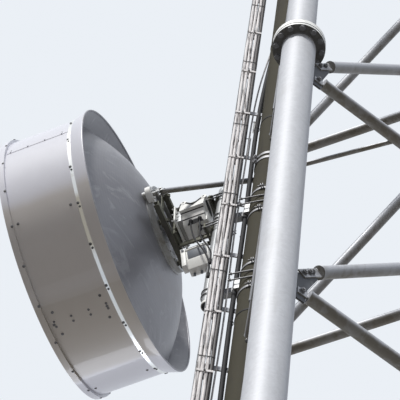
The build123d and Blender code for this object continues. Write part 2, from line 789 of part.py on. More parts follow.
with BuildPart() as leg_a_middle:
    leg_length(A, 1)
leg_a_middle.part.label = "leg_a_middle"
export_step(leg_a_middle.part, "parts/leg_a_middle.step")

with BuildPart() as leg_b_middle:
    leg_length(B, 1)
leg_b_middle.part.label = "leg_b_middle"
export_step(leg_b_middle.part, "parts/leg_b_middle.step")

with BuildPart() as leg_c_middle:
    leg_length(C, 1)
leg_c_middle.part.label = "leg_c_middle"
export_step(leg_c_middle.part, "parts/leg_c_middle.step")

with BuildPart() as leg_a_upper:
    leg_length(A, 2)
leg_a_upper.part.label = "leg_a_upper"
export_step(leg_a_upper.part, "parts/leg_a_upper.step")

with BuildPart() as leg_b_upper:
    leg_length(B, 2)
leg_b_upper.part.label = "leg_b_upper"
export_step(leg_b_upper.part, "parts/leg_b_upper.step")

with BuildPart() as leg_c_upper:
    leg_length(C, 2)
leg_c_upper.part.label = "leg_c_upper"
export_step(leg_c_upper.part, "parts/leg_c_upper.step")

with BuildPart() as splice_rings_under:
    splice_rings(0)
splice_rings_under.part.label = "splice_rings_under"
export_step(splice_rings_under.part, "parts/splice_rings_under.step")

with BuildPart() as splice_rings_over:
    splice_rings(1)
splice_rings_over.part.label = "splice_rings_over"
export_step(splice_rings_over.part, "parts/splice_rings_over.step")

with BuildPart() as leg_top_plates:
    for leg in (A, B, C):
        tube(leg_plane(leg, LEG_TOP), TOP_PLATE_RADIUS, TOP_PLATE_THICK)
leg_top_plates.part.label = "leg_top_plates"
export_step(leg_top_plates.part, "parts/leg_top_plates.step")

# Bracing of the three faces
with BuildPart() as gussets_face_ab:
    face_gussets(FACE_AB, (A, B), 1)
gussets_face_ab.part.label = "gussets_face_ab"
export_step(gussets_face_ab.part, "parts/gussets_face_ab.step")

with BuildPart() as gussets_face_bc:
    face_gussets(FACE_BC, (B, C), -1)
gussets_face_bc.part.label = "gussets_face_bc"
export_step(gussets_face_bc.part, "parts/gussets_face_bc.step")

with BuildPart() as gussets_face_ca:
    face_gussets(FACE_CA, (C, A), 1)
gussets_face_ca.part.label = "gussets_face_ca"
export_step(gussets_face_ca.part, "parts/gussets_face_ca.step")

with BuildPart() as horizontals_face_ab:
    face_horizontals(FACE_AB, (A, B))
horizontals_face_ab.part.label = "horizontals_face_ab"
export_step(horizontals_face_ab.part, "parts/horizontals_face_ab.step")

with BuildPart() as horizontals_face_bc:
    face_horizontals(FACE_BC, (B, C))
horizontals_face_bc.part.label = "horizontals_face_bc"
export_step(horizontals_face_bc.part, "parts/horizontals_face_bc.step")

with BuildPart() as horizontals_face_ca:
    face_horizontals(FACE_CA, (C, A))
horizontals_face_ca.part.label = "horizontals_face_ca"
export_step(horizontals_face_ca.part, "parts/horizontals_face_ca.step")

with BuildPart() as diagonals_face_ab:
    face_diagonals(FACE_AB, (A, B), 1)
diagonals_face_ab.part.label = "diagonals_face_ab"
export_step(diagonals_face_ab.part, "parts/diagonals_face_ab.step")

with BuildPart() as diagonals_face_bc:
    face_diagonals(FACE_BC, (B, C), -1)
diagonals_face_bc.part.label = "diagonals_face_bc"
export_step(diagonals_face_bc.part, "parts/diagonals_face_bc.step")

with BuildPart() as diagonals_face_ca:
    face_diagonals(FACE_CA, (C, A), 1)
diagonals_face_ca.part.label = "diagonals_face_ca"
export_step(diagonals_face_ca.part, "parts/diagonals_face_ca.step")

with BuildPart() as plan_brace:
    brace_start = horizontal_axis(FACE_AB, PLAN_BRACE_FROM_LEG[0], 1)
    brace_end = horizontal_axis(FACE_CA, PLAN_BRACE_FROM_LEG[1], -1)
    brace_run = brace_end - brace_start
    tube(Plane(origin=brace_start, z_dir=brace_run.normalized()), PLAN_BRACE_RADIUS, brace_run.length)
    level_cut(FACE_AB)
    level_cut(FACE_CA)
plan_brace.part.label = "plan_brace"
export_step(plan_brace.part, "parts/plan_brace.step")

# Cable ladder and feeders
with BuildPart() as cable_ladder:
    ladder()
cable_ladder.part.label = "cable_ladder"
export_step(cable_ladder.part, "parts/cable_ladder.step")

with BuildPart() as ladder_arms:
    ladder_brackets()
ladder_arms.part.label = "ladder_arms"
export_step(ladder_arms.part, "parts/ladder_arms.step")

with BuildPart() as feeder_cables:
    cables()
feeder_cables.part.label = "feeder_cables"
export_step(feeder_cables.part, "parts/feeder_cables.step")

with BuildPart() as cable_hangers:
    hangers()
cable_hangers.part.label = "cable_hangers"
export_step(cable_hangers.part, "parts/cable_hangers.step")

# Dish
with BuildPart() as dish_reflector:
    reflector()
dish_reflector.part.label = "dish_reflector"
export_step(dish_reflector.part, "parts/dish_reflector.step")

with BuildPart() as dish_shroud:
    band(SHROUD_RADIUS - SHROUD_SKIN, SHROUD_RADIUS, BAND_FRONT + RADOME_THICK, SKIRT_FRONT)
dish_shroud.part.label = "dish_shroud"
export_step(dish_shroud.part, "parts/dish_shroud.step")

with BuildPart() as dish_front_band:
    spin([
        (RADOME_RADIUS, BAND_FRONT),
        (BAND_RADIUS, BAND_FRONT),
        (BAND_RADIUS, BAND_REAR),
        (SHROUD_RADIUS, BAND_REAR),
        (SHROUD_RADIUS, BAND_FRONT + RADOME_THICK),
        (RADOME_RADIUS, BAND_FRONT + RADOME_THICK),
    ])
dish_front_band.part.label = "dish_front_band"
export_step(dish_front_band.part, "parts/dish_front_band.step")

with BuildPart() as dish_radome:
    tube(DISH.offset(BAND_FRONT), RADOME_RADIUS, RADOME_THICK)
dish_radome.part.label = "dish_radome"
export_step(dish_radome.part, "parts/dish_radome.step")

with BuildPart() as dish_rear_strip:
    band(SHROUD_RADIUS, SHROUD_RADIUS + STRIP_THICK, STRIP_FRONT, SKIRT_FRONT)
dish_rear_strip.part.label = "dish_rear_strip"
export_step(dish_rear_strip.part, "parts/dish_rear_strip.step")

with BuildPart() as hub_ring:
    back_ring()
hub_ring.part.label = "hub_ring"
export_step(hub_ring.part, "parts/hub_ring.step")

# Dish mount
with BuildPart() as mount_frame:
    back_frame()
mount_frame.part.label = "mount_frame"
export_step(mount_frame.part, "parts/mount_frame.step")

with BuildPart() as dish_pipe:
    hollow(pipe_plane(PIPE_BOTTOM), PIPE_RADIUS, PIPE_BORE, PIPE_TOP - PIPE_BOTTOM)
dish_pipe.part.label = "dish_pipe"
export_step(dish_pipe.part, "parts/dish_pipe.step")

with BuildPart() as pipe_standoffs:
    standoffs()
pipe_standoffs.part.label = "pipe_standoffs"
export_step(pipe_standoffs.part, "parts/pipe_standoffs.step")

with BuildPart() as pipe_clamps:
    clamp_blocks()
pipe_clamps.part.label = "pipe_clamps"
export_step(pipe_clamps.part, "parts/pipe_clamps.step")

with BuildPart() as side_strut:
    strut()
side_strut.part.label = "side_strut"
export_step(side_strut.part, "parts/side_strut.step")

# Radio units and jumpers
with BuildPart() as radio_unit:
    dish_box(RADIO_ACROSS, RADIO_UP, RADIO_BACK)
    fillet(radio_unit.edges().filter_by(lambda edge: abs((edge % 0).dot(DISH.z_dir)) > 0.9), RADIO_ROUND)
radio_unit.part.label = "radio_unit"
export_step(radio_unit.part, "parts/radio_unit.step")

with BuildPart() as radio_box:
    dish_box(BOX_ACROSS, BOX_UP, BOX_BACK)
    fillet(radio_box.edges().filter_by(lambda edge: abs((edge % 0).dot(DISH.z_dir)) > 0.9), BOX_ROUND)
    cut_pipe()
radio_box.part.label = "radio_box"
export_step(radio_box.part, "parts/radio_box.step")

with BuildPart() as jumper_joints:
    jumper_joint(*LONG_JOINT)
    jumper_joint(*SHORT_JOINT)
jumper_joints.part.label = "jumper_joints"
export_step(jumper_joints.part, "parts/jumper_joints.step")

JOINT_MIDDLE = STILE_OUTER + STILE_THICK + JOINT_SIZE[0] / 2

with BuildPart() as jumper_long:
    cable_run(
        [
            dish_point(JUMPER_ACROSS, RADIO_UP[0], LONG_BACK),
            dish_point(JUMPER_ACROSS, RADIO_UP[0] - 130, LONG_BACK),
            leg_point(JOINT_MIDDLE + 184, LONG_JOINT[0] - 88, LONG_JOINT[1] + 730),
            leg_point(JOINT_MIDDLE + 136, LONG_JOINT[0] - 44, LONG_JOINT[1] + 560),
            leg_point(JOINT_MIDDLE + 69, LONG_JOINT[0] - 18, LONG_JOINT[1] + 400),
            leg_point(JOINT_MIDDLE + 20, LONG_JOINT[0] - 4, LONG_JOINT[1] + 240),
            leg_point(JOINT_MIDDLE, LONG_JOINT[0], LONG_JOINT[1] + 110),
            leg_point(JOINT_MIDDLE, LONG_JOINT[0], LONG_JOINT[1]),
        ],
        JUMPER_RADIUS,
    )
jumper_long.part.label = "jumper_long"
export_step(jumper_long.part, "parts/jumper_long.step")

with BuildPart() as jumper_short:
    cable_run(
        [
            dish_point(JUMPER_ACROSS, RADIO_UP[0], SHORT_BACK),
            dish_point(JUMPER_ACROSS, RADIO_UP[0] - 110, SHORT_BACK),
            leg_point(JOINT_MIDDLE + 134, SHORT_JOINT[0] - 82, SHORT_JOINT[1] + 580),
            leg_point(JOINT_MIDDLE + 116, SHORT_JOINT[0] - 46, SHORT_JOINT[1] + 430),
            leg_point(JOINT_MIDDLE + 66, SHORT_JOINT[0] - 16, SHORT_JOINT[1] + 290),
            leg_point(JOINT_MIDDLE + 18, SHORT_JOINT[0] - 3, SHORT_JOINT[1] + 170),
            leg_point(JOINT_MIDDLE, SHORT_JOINT[0], SHORT_JOINT[1] + 80),
            leg_point(JOINT_MIDDLE, SHORT_JOINT[0], SHORT_JOINT[1]),
        ],
        JUMPER_RADIUS,
    )
jumper_short.part.label = "jumper_short"
export_step(jumper_short.part, "parts/jumper_short.step")
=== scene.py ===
"""A three-legged lattice cell tower with a cable ladder and a shrouded dish.

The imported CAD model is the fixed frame. This script dresses it with finishes,
bolts, welds, cables, castings and clamps, and sets up a plain stage round it.
"""

import math

import bmesh
import bpy
from mathutils import Matrix, Vector


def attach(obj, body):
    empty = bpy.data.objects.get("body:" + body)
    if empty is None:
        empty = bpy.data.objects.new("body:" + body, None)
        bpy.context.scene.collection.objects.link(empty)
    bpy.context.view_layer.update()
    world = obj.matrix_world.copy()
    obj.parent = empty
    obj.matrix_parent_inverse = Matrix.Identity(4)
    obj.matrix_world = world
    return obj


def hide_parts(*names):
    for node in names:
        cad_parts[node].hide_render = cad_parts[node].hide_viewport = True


bl_info = {
    "name": "Cell Tower Builder",
    "version": (1, 0, 0),
    "blender": (4, 5, 0),
    "location": "View3D > Sidebar > Tower",
    "description": "Dresses a lattice cell tower with its dish, cables, bolts and finishes",
    "category": "Add Mesh",
}

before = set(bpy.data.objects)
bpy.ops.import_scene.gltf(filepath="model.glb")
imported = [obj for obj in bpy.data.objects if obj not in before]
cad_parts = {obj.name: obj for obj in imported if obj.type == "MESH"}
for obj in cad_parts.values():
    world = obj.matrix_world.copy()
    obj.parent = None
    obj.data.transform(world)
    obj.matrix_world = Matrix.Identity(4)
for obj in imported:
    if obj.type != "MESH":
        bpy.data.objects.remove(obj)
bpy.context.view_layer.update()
UP = Vector((0, 0, 1))

# Tower outline, as in the part's source, in metres
FOOT_SPACING = 3.75
TAPER = 0.067
BAY_HEIGHT = 3.7
NODE_LEVELS = [0.35 + BAY_HEIGHT * bay for bay in range(7)]
LEG_TOP = NODE_LEVELS[-1] + 0.5
SLIM_LEG = ((0.1495, 0.1365, 0.1225), (NODE_LEVELS[2] + 0.434, NODE_LEVELS[4] + 0.434))
STOUT_LEG = ((0.1495, 0.1495, 0.1495), (NODE_LEVELS[1] + 0.404, NODE_LEVELS[3] + 0.404))
LEGS = (SLIM_LEG, SLIM_LEG, STOUT_LEG)
RING_THICK = 0.036
RING_OVER = 0.075
RING_RADIUS = 0.214
RING_EASE = 0.005
SPLICE_CIRCLE = 0.186
SPLICE_BOLTS = 12
WELD_RISE = 0.012
TONGUE_GAP = 0.03
TONGUE_HALF = 0.038
LEVEL_START = 0.255
SLOPING_START = 0.565
GUSSET_REACH = 0.23
GUSSET_TIP = 0.49
BOLT_INSET = (0.03, 0.028)
TWO_BOLTS_FROM = 0.33
TUBE_END = (0.0445, 0.0475)
BASE_THICK = 0.03
ANCHOR_CIRCLE = 0.21
ANCHOR_TOP = 0.115
LAP_OFFSET = 0.013
TONGUE_FACE = 0.019
GUSSET_FACE = -0.007

# Cable ladder in leg C's frame: U away from the tower, V along the face, W up
LADDER_BOTTOM = 0.25
LADDER_TOP = LEG_TOP - 0.1
RUNG_PITCH = 0.4785
FIRST_RUNG = LADDER_BOTTOM + 0.211
CABLE_RADIUS = 0.0165
CABLE_PITCH = 0.034
CABLE_MIDDLE = 0.345
CABLE_COLUMNS = 4
CABLE_ROWS = (0.0165, 0.0555)
CABLE_ENDS = (0.3, LADDER_TOP - 0.1)
CABLE_STEPS = 138
CABLE_WAVER = 0.0032
TIE_REACH = 0.074
DISH_LEVEL = NODE_LEVELS[4] + 2.7093

# Runs strapped to leg C: their straps, and where they pass round to its far side
RUN_ENDS = (0.4, 22.8)
RUN_STEPS = 112
STRAP_START = 0.9
STRAP_PITCH = 1.86
STRAP_HALF = 0.009
ROUND_FROM = 18.9
ROUND_OVER = 4.2
ROUND_REACH = 0.176
ROUND_TURN = math.radians(62)

# Mount pipe in leg C's frame
PIPE_AT = (0.4, -0.165)
PIPE_RADIUS = 0.057
PIPE_ENDS = (DISH_LEVEL - 1.6493, DISH_LEVEL + 0.4707)
STANDOFF_LEVELS = (DISH_LEVEL - 1.4793, DISH_LEVEL - 0.0863)

# Dish: radii and depths from its lip plane, positive to the rear; RING_BACK is the cast
# ring's inner and outer radius and its rear face
LIP_AT = (1.15115, -0.56254, DISH_LEVEL)
DISH_FRONT = Vector((-0.4988, 0.8650, -0.0541)).normalized()
DOME_RADIUS = 1.19
BOWL_RIM = -0.15
BOWL_APEX = 0.324
BOWL_SKIN = 0.008
BOWL_INNER_RIM = -0.172
LIP_RADIUS = 1.306
SKIRT_RADIUS = 1.276
SKIRT_FRONT = -0.13
SHROUD_RADIUS = 1.27
BAND_RADIUS = 1.3
BAND_SCREWS = 21
STRIP_SCREWS = 20
SHROUD_LINES = (-0.743, -0.569, -0.396, -0.223)
RING_BACK = (0.34, 0.43, 0.33)
RING_BACK_BOLTS = 24
BOSS_AT = (-0.43, -0.1)
EYE_BACK = 0.437
STRUT_END = (0.055, -0.13, DISH_LEVEL + 0.8007)

# Mount frame in the dish's frame; each arm's level, front, saddle and strap
CHANNEL_DEPTHS = (0.362, 0.412)
CHANNEL_HALF = 0.04
CHANNEL_SKIN = 0.008
TIE_REAR = 0.43
ARMS = ((0.22, 0.775, 0.836, 0.955), (-0.34, 0.727, 0.790, 0.906))
ARM_SPAN = (-0.065, 0.125)
ARM_THICK = 0.02
STRAP_THICK = 0.012

# Radio unit and second box in the dish's frame
RADIO_FLOOR = -0.25
BARREL_DEPTHS = (0.505, 0.735)
BARREL_EDGE = (-0.165, -0.03)
BARREL_SIDE = (-0.889, -0.458, 0)
DISC_AT = (-0.04, 0.05)
BOX_EDGE = (-0.06, -0.735)
BOX_SIDE = Vector((-0.122, -0.045, 0)).normalized()

# Jumpers: length, exit's depth, first drop, level of the joint's top, and a route over it
JUMPER_RADIUS = 0.008
JUMPER_ACROSS = -0.11
JOINT_MIDDLE = 0.437
JUMPERS = {
    "long": (1.10, 0.6, 0.13, DISH_LEVEL - 1.2693, (
        (0.184, -0.126, 0.73), (0.136, -0.082, 0.56), (0.069, -0.056, 0.4),
        (0.020, -0.042, 0.24), (0, -0.038, 0.11), (0, -0.038, 0),
    )),
    "short": (0.90, 0.69, 0.11, DISH_LEVEL - 1.0693, (
        (0.134, -0.094, 0.58), (0.116, -0.058, 0.43), (0.066, -0.028, 0.29),
        (0.018, -0.015, 0.17), (0, -0.012, 0.08), (0, -0.012, 0),
    )),
}


def axes(origin, x_dir, z_dir):
    """Frame with its Z on one direction and its X as near as it can be to another."""
    z_axis = z_dir.normalized()
    x_axis = (x_dir - z_axis * x_dir.dot(z_axis)).normalized()
    made = Matrix((x_axis, z_axis.cross(x_axis), z_axis)).transposed().to_4x4()
    made.translation = origin
    return made


def at(place, x=0.0, y=0.0, z=0.0):
    """A frame moved along its own axes."""
    return place @ Matrix.Translation((x, y, z))


def swung(place, degrees, axis="Z"):
    """A frame turned about one of its own axes."""
    return place @ Matrix.Rotation(math.radians(degrees), 4, axis)


def put(place, *values):
    """A point of a frame, in the scene."""
    return place @ Vector(values)


def facing(place, *values):
    """A direction of a frame, in the scene."""
    return place.to_3x3() @ Vector(values)


FEET = [
    Vector((0, 0, 0)),
    Vector((FOOT_SPACING, 0, 0)),
    Vector((FOOT_SPACING / 2, FOOT_SPACING * math.sqrt(3) / 2, 0)),
]
MIDDLE = (FEET[0] + FEET[1] + FEET[2]) / 3
LEG_STRETCH = math.sqrt(1 + TAPER * TAPER / 3)
FACE_STRETCH = math.sqrt(1 + TAPER * TAPER / 12)


def leg_axis(leg):
    """Direction of a leaning leg."""
    inward = (MIDDLE - FEET[leg]).normalized()
    return (UP + inward * (TAPER / math.sqrt(3))).normalized()


def leg_frame(leg, level=0.0):
    """Frame across a leg at a height; its X points to the tower's middle."""
    axis = leg_axis(leg)
    inward = (MIDDLE - FEET[leg]).normalized()
    return axes(FEET[leg] + axis * (level * LEG_STRETCH), inward, axis)


def leg_radius(leg, level):
    """Outer radius of a leg at a height."""
    radii, seams = LEGS[leg]
    return radii[sum(level > seam for seam in seams)]


def face_frame(left, right):
    """Frame of a tower face: X along the feet, Y up the face, Z outwards."""
    along = (FEET[right] - FEET[left]).normalized()
    middle = (FEET[left] + FEET[right]) / 2
    inward = (MIDDLE - middle).normalized()
    up_face = (UP + inward * (TAPER / (2 * math.sqrt(3)))).normalized()
    return axes(FEET[left], along, along.cross(up_face))


def face_point(side, level):
    """Point of a leg axis in its face; side 1 is the left leg, -1 the right one."""
    lean = TAPER / 2 * level
    return Vector((lean if side > 0 else FOOT_SPACING - lean, level * FACE_STRETCH, 0))


FACES = [
    ("ab", (0, 1), 1),
    ("bc", (1, 2), -1),
    ("ca", (2, 0), 1),
]
LEG_C = axes(FEET[2], (FEET[0] + FEET[2]) / 2 - MIDDLE, leg_axis(2))
DISH = axes(put(LEG_C, *LIP_AT), UP.cross(-DISH_FRONT), -DISH_FRONT)
BOSS = at(DISH, *BOSS_AT)
PIPE = axes(put(LEG_C, *PIPE_AT, 0), facing(LEG_C, *PIPE_AT, 0), leg_axis(2))
TURN_SIDE = Matrix(((0, 0, -1, 0), (0, 1, 0, 0), (1, 0, 0, 0), (0, 0, 0, 1)))


class Wire:
    """An output of a shader node that can stand in a sum."""

    def __init__(self, shader, socket):
        self.shader = shader
        self.socket = socket

    def __add__(self, other):
        return self.shader.math("ADD", self, other)

    def __sub__(self, other):
        return self.shader.math("SUBTRACT", self, other)

    def __rsub__(self, other):
        return self.shader.math("SUBTRACT", other, self)

    def __mul__(self, other):
        return self.shader.math("MULTIPLY", self, other)

    __radd__ = __add__
    __rmul__ = __mul__


class Shader:
    """A node tree that is filled node by node."""

    def __init__(self, tree):
        self.tree = tree
        tree.nodes.clear()

    def node(self, kind, settings=None, inputs=None, out=0):
        """Adds a node, sets it up, fills its sockets and gives one of its outputs."""
        made = self.tree.nodes.new(kind)
        for key, value in (settings or {}).items():
            setattr(made, key, value)
        for key, value in (inputs or {}).items():
            self.fill(made.inputs[key], value)
        return Wire(self, made.outputs[out]) if len(made.outputs) else None

    def fill(self, socket, value):
        """Links a wire to a socket, or sets its value."""
        if isinstance(value, Wire):
            self.tree.links.new(value.socket, socket)
        elif socket.type == "RGBA":
            socket.default_value = (*value[:3], 1)
        else:
            socket.default_value = value

    def math(self, operation, *values):
        """Math node on numbers and wires."""
        return self.node("ShaderNodeMath", {"operation": operation}, dict(enumerate(values)))

    def band(self, value, low, high):
        """0 below one value, 1 above another and smooth in between."""
        settings = {"interpolation_type": "SMOOTHSTEP"}
        inputs = {"Value": value, "From Min": low, "From Max": high}
        return self.node("ShaderNodeMapRange", settings, inputs)

    def mix(self, factor, first, second):
        """Mix of two colours."""
        settings = {"data_type": "RGBA"}
        return self.node("ShaderNodeMix", settings, {0: factor, 6: first, 7: second}, 2)

    def tint(self, colour, amount):
        """Colour made lighter or darker by a number."""
        settings = {"operation": "SCALE"}
        return self.node("ShaderNodeVectorMath", settings, {0: colour, "Scale": amount})

    def place(self, scale=(1, 1, 1), inverse_of=None):
        """The piece's own coordinates, stretched, or read in another frame."""
        vector = self.node("ShaderNodeTexCoord", out="Object")
        if inverse_of is not None:
            where = {"Location": inverse_of.translation, "Rotation": inverse_of.to_euler()}
            settings = {"vector_type": "TEXTURE"}
            vector = self.node("ShaderNodeMapping", settings, {"Vector": vector, **where})
        return self.node("ShaderNodeMapping", None, {"Vector": vector, "Scale": scale})

    def noise(self, vector, scale, detail=3.0, rough=0.55, warp=0.0):
        """Soft noise, 0 to 1."""
        shape = {"Scale": scale, "Detail": detail, "Roughness": rough, "Distortion": warp}
        return self.node("ShaderNodeTexNoise", None, {"Vector": vector, **shape}, "Fac")

    def cells(self, vector, scale):
        """A different number in each crystal of a cell pattern."""
        inputs = {"Vector": vector, "Scale": scale}
        colour = self.node("ShaderNodeTexVoronoi", None, inputs, "Color")
        return self.node("ShaderNodeSeparateColor", None, {0: colour}, "Red")

    def parts(self, vector):
        """X, Y and Z of a vector."""
        made = self.node("ShaderNodeSeparateXYZ", None, {0: vector})
        outputs = made.socket.node.outputs
        return [Wire(self, outputs[n]) for n in range(3)]

    def underside(self):
        """1 on faces that look down, 0 on faces that look up or sideways."""
        normal = self.node("ShaderNodeNewGeometry", out="Normal")
        return self.band(0 - self.parts(normal)[2], 0.05, 0.75)

    def bump(self, height, strength, distance):
        """Normal of a surface that rises and falls with a height."""
        inputs = {"Height": height, "Strength": strength, "Distance": distance}
        return self.node("ShaderNodeBump", None, inputs)

    def surface(self, colour, rough, relief=None, extra=None):
        """Closes the tree with a Principled surface; the relief is what bump() takes."""
        inputs = {"Base Color": colour, "Roughness": rough, **(extra or {})}
        if relief:
            inputs["Normal"] = self.bump(*relief)
        shade = self.node("ShaderNodeBsdfPrincipled", None, inputs)
        self.node("ShaderNodeOutputMaterial", None, {"Surface": shade})


def new_finish(name):
    """Empty material and its shader."""
    material = bpy.data.materials.new(name)
    material.use_nodes = True
    return material, Shader(material.node_tree)


def zinc_finish(name, colour, dark_tone, dull=0.42, metal=0.45, darkening=0.6, spangle=34.0, gloss=0.5):
    """Hot-dip zinc: soft crystals, cloudy patina and rain streaks, with painted shade and ground
    reflection on the undersides.
    """
    material, sh = new_finish(name)
    own = sh.place()
    crystals = sh.cells(own, spangle) * 0.6 + sh.cells(own, spangle * 2.7) * 0.4
    clouds = sh.noise(own, 2.3, 4, 0.6)
    streaks = sh.noise(sh.place((16, 16, 1.1)), 1.0, 3, 0.6)
    tone = 0.8 + crystals * 0.14 + clouds * 0.2 + streaks * 0.1
    dirt = sh.band(streaks + clouds, 0.95, 1.4) * 0.4
    # Painted shade: faces that look down are darkened towards the dark colour, standing in for shade
    # and brown ground reflection on the undersides.
    under = sh.underside() * (0.55 + sh.noise(own, 7.0, 4, 0.6) * 0.6) * darkening
    clean = sh.tint(colour, tone)
    shown = sh.mix(sh.math("MINIMUM", dirt * darkening + under, 0.95), clean, dark_tone)
    rough = dull + crystals * 0.1 + under * 0.3
    height = crystals * 0.3 + sh.noise(own, 60.0, 3, 0.6) * 0.7
    extra = {"Metallic": metal - under * metal * 0.8, "Specular IOR Level": gloss}
    sh.surface(shown, rough, (height, 0.25, 0.0015), extra)
    return material


def dish_paint(name, colour, dark_tone):
    """Semi-gloss paint on the shroud, with painted reflections by angle: a cool painted sky reflection
    on top, pale painted ground reflections on a panel and low on the shroud, and painted brown ground
    reflection and shade below.
    """
    material, sh = new_finish(name)
    across, up, _back = sh.parts(sh.place(inverse_of=DISH))
    angle = sh.math("ARCTAN2", up, across)
    own = sh.place()
    wander = (sh.noise(own, 2.0, 3, 0.5) - 0.5) * 0.06
    turn = angle + wander
    # Painted reflections by angle round the dish: the top band is a cool painted sky reflection, and
    # the panel and foot bands are pale painted reflections low on the shroud.
    top = sh.band(turn, -2.50, -2.62) + sh.band(turn, 0.6, 1.2)
    panel = sh.band(turn, -1.93, -1.90) - sh.band(turn, -1.78, -1.76)
    foot = sh.band(turn, -1.09, -1.02) - sh.band(turn, -0.3, 0.3)
    lower = sh.band(turn, -1.86, -1.76) - sh.band(turn, -1.12, -1.06)
    clouds = sh.noise(own, 5.0, 4, 0.6)
    rain = sh.noise(sh.place((9, 9, 1.4)), 1.0, 4, 0.6)
    tone = 0.93 + clouds * 0.1 + rain * 0.05
    base = sh.tint(colour, tone)
    # Painted brown ground reflection and shade on the lower part of the shroud, in two bands.
    darkening = sh.band(turn, -2.7, -2.5) - sh.band(turn, -1.09, -1.02)
    warm = sh.mix(darkening * 0.5, base, dark_tone)
    warm = sh.mix(lower * 0.35, warm, dark_tone)
    cool = sh.mix(sh.math("MINIMUM", top + foot, 1.0) * 0.6, warm, (0.62, 0.63, 0.70))
    shown = sh.mix(panel * 0.25, cool, (0.62, 0.60, 0.59))
    relief = (sh.noise(own, 3.2, 2, 0.5) + clouds * 0.1, 0.12, 0.01)
    sh.surface(shown, 0.34 + clouds * 0.12, relief, {"Coat Weight": 0.25})
    return material


def spun_aluminium(name, colour, stain):
    """Scuffed bowl: faint spinning rings, broad dents and milky smears."""
    material, sh = new_finish(name)
    seen = sh.place(inverse_of=DISH)
    across, up, _back = sh.parts(seen)
    reach = sh.math("SQRT", across * across + up * up)
    rings = sh.math("SINE", reach * 260 + sh.noise(seen, 1.5) * 5) * 0.5 + 0.5
    smears = sh.noise(sh.node("ShaderNodeMapping", None, {
        "Vector": seen, "Rotation": (0, 0, 0.6), "Scale": (1.1, 4.2, 3.0),
    }), 1.7, 6, 0.62, 1.4)
    milky = sh.band(smears, 0.52, 0.70)
    clouds = sh.noise(seen, 1.6, 4, 0.55, 0.4)
    tone = 0.66 + clouds * 0.52 + rings * 0.03
    shown = sh.mix(milky * 0.30, sh.tint(colour, tone), (0.62, 0.62, 0.66))
    shown = sh.mix(sh.band(clouds, 0.5, 0.8) * 0.5, shown, stain)
    waves = sh.noise(seen, 2.4, 2, 0.45, 0.5)
    relief = (waves * 0.9 + rings * 0.01 + smears * 0.06, 0.55, 0.03)
    sh.surface(shown, 0.36 + smears * 0.25, relief, {"Metallic": 0.55 - milky * 0.2})
    return material


def bright_strip(name, colour):
    """Rolled stainless strip, brushed round the dish, brown where it has weathered."""
    material, sh = new_finish(name)
    across, up, back = sh.parts(sh.place(inverse_of=DISH))
    turn = sh.math("ARCTAN2", up, across)
    grain = sh.noise(sh.node("ShaderNodeCombineXYZ", None, {0: turn * 3, 1: back * 900}), 1.0)
    stain = sh.band(turn, -2.5, -2.42) - sh.band(turn, -2.1, -1.98)
    patches = sh.noise(sh.place(), 7.0, 3, 0.5)
    dull = sh.math("MINIMUM", stain + sh.band(patches, 0.6, 0.75) * 0.4, 1.0)
    shown = sh.mix(dull * 0.75, sh.tint(colour, 0.85 + grain * 0.25), (0.34, 0.29, 0.20))
    relief = (grain + patches * 2, 0.1, 0.002)
    sh.surface(shown, 0.22 + grain * 0.2, relief, {"Metallic": 0.75})
    return material


def cast_paint(name, colour, dark_tone, darkening=0.85):
    """Powder coat on a casting, with dark specks of dirt and painted shade on its undersides."""
    material, sh = new_finish(name)
    own = sh.place()
    clouds = sh.noise(own, 14.0, 4, 0.6)
    # Painted shade: faces that look down are darkened towards the dark colour; the specks below are
    # real dirt.
    under = sh.underside() * darkening
    specks = sh.band(sh.noise(own, 120.0, 2, 0.6), 0.66, 0.74)
    shown = sh.mix(under * (0.6 + clouds * 0.6), sh.tint(colour, 0.9 + clouds * 0.16), dark_tone)
    shown = sh.mix(specks * 0.5, shown, dark_tone)
    sh.surface(shown, 0.42 + clouds * 0.2, (sh.noise(own, 260.0, 2, 0.5), 0.18, 0.0006))
    return material


def cable_jacket(name, colour, dark):
    """Weathered cable jacket, chalky with soot in long runs."""
    material, sh = new_finish(name)
    own = sh.place()
    runs = sh.noise(sh.place((70, 70, 2.4)), 1.0, 4, 0.6)
    spots = sh.noise(own, 26.0, 3, 0.6)
    shown = sh.mix(sh.band(runs, 0.5, 0.68), sh.tint(colour, 0.85 + spots * 0.3), dark)
    shown = sh.mix(sh.band(spots, 0.6, 0.72) * 0.5, shown, dark)
    sh.surface(shown, 0.5 + spots * 0.2, (runs + spots, 0.3, 0.001))
    return material


def black_rubber(name, colour):
    """Black rubber with a faint bloom."""
    material, sh = new_finish(name)
    own = sh.place()
    bloom = sh.noise(own, 30.0, 4, 0.6)
    shown = sh.mix(sh.band(bloom, 0.5, 0.8) * 0.5, colour, (0.07, 0.07, 0.075))
    relief = (sh.noise(own, 200.0, 2, 0.5), 0.15, 0.0006)
    sh.surface(shown, 0.55 + bloom * 0.25, relief, {"Specular IOR Level": 0.22})
    return material


def radome_cloth(name, colour):
    """Coated fabric radome with its weave and slack."""
    material, sh = new_finish(name)
    seen = sh.place(inverse_of=DISH)
    across, up, _back = sh.parts(seen)
    weave = sh.math("SINE", across * 1250) * sh.math("SINE", up * 1250)
    clouds = sh.noise(seen, 1.4, 4, 0.6)
    shown = sh.mix(clouds * 0.3, sh.tint(colour, 0.92 + weave * 0.03), (0.42, 0.40, 0.36))
    sh.surface(shown, 0.55 + clouds * 0.1, (weave * 0.2 + clouds, 0.2, 0.004))
    return material


# The finishes by name; prepare_finishes makes each once
FINISH = {}


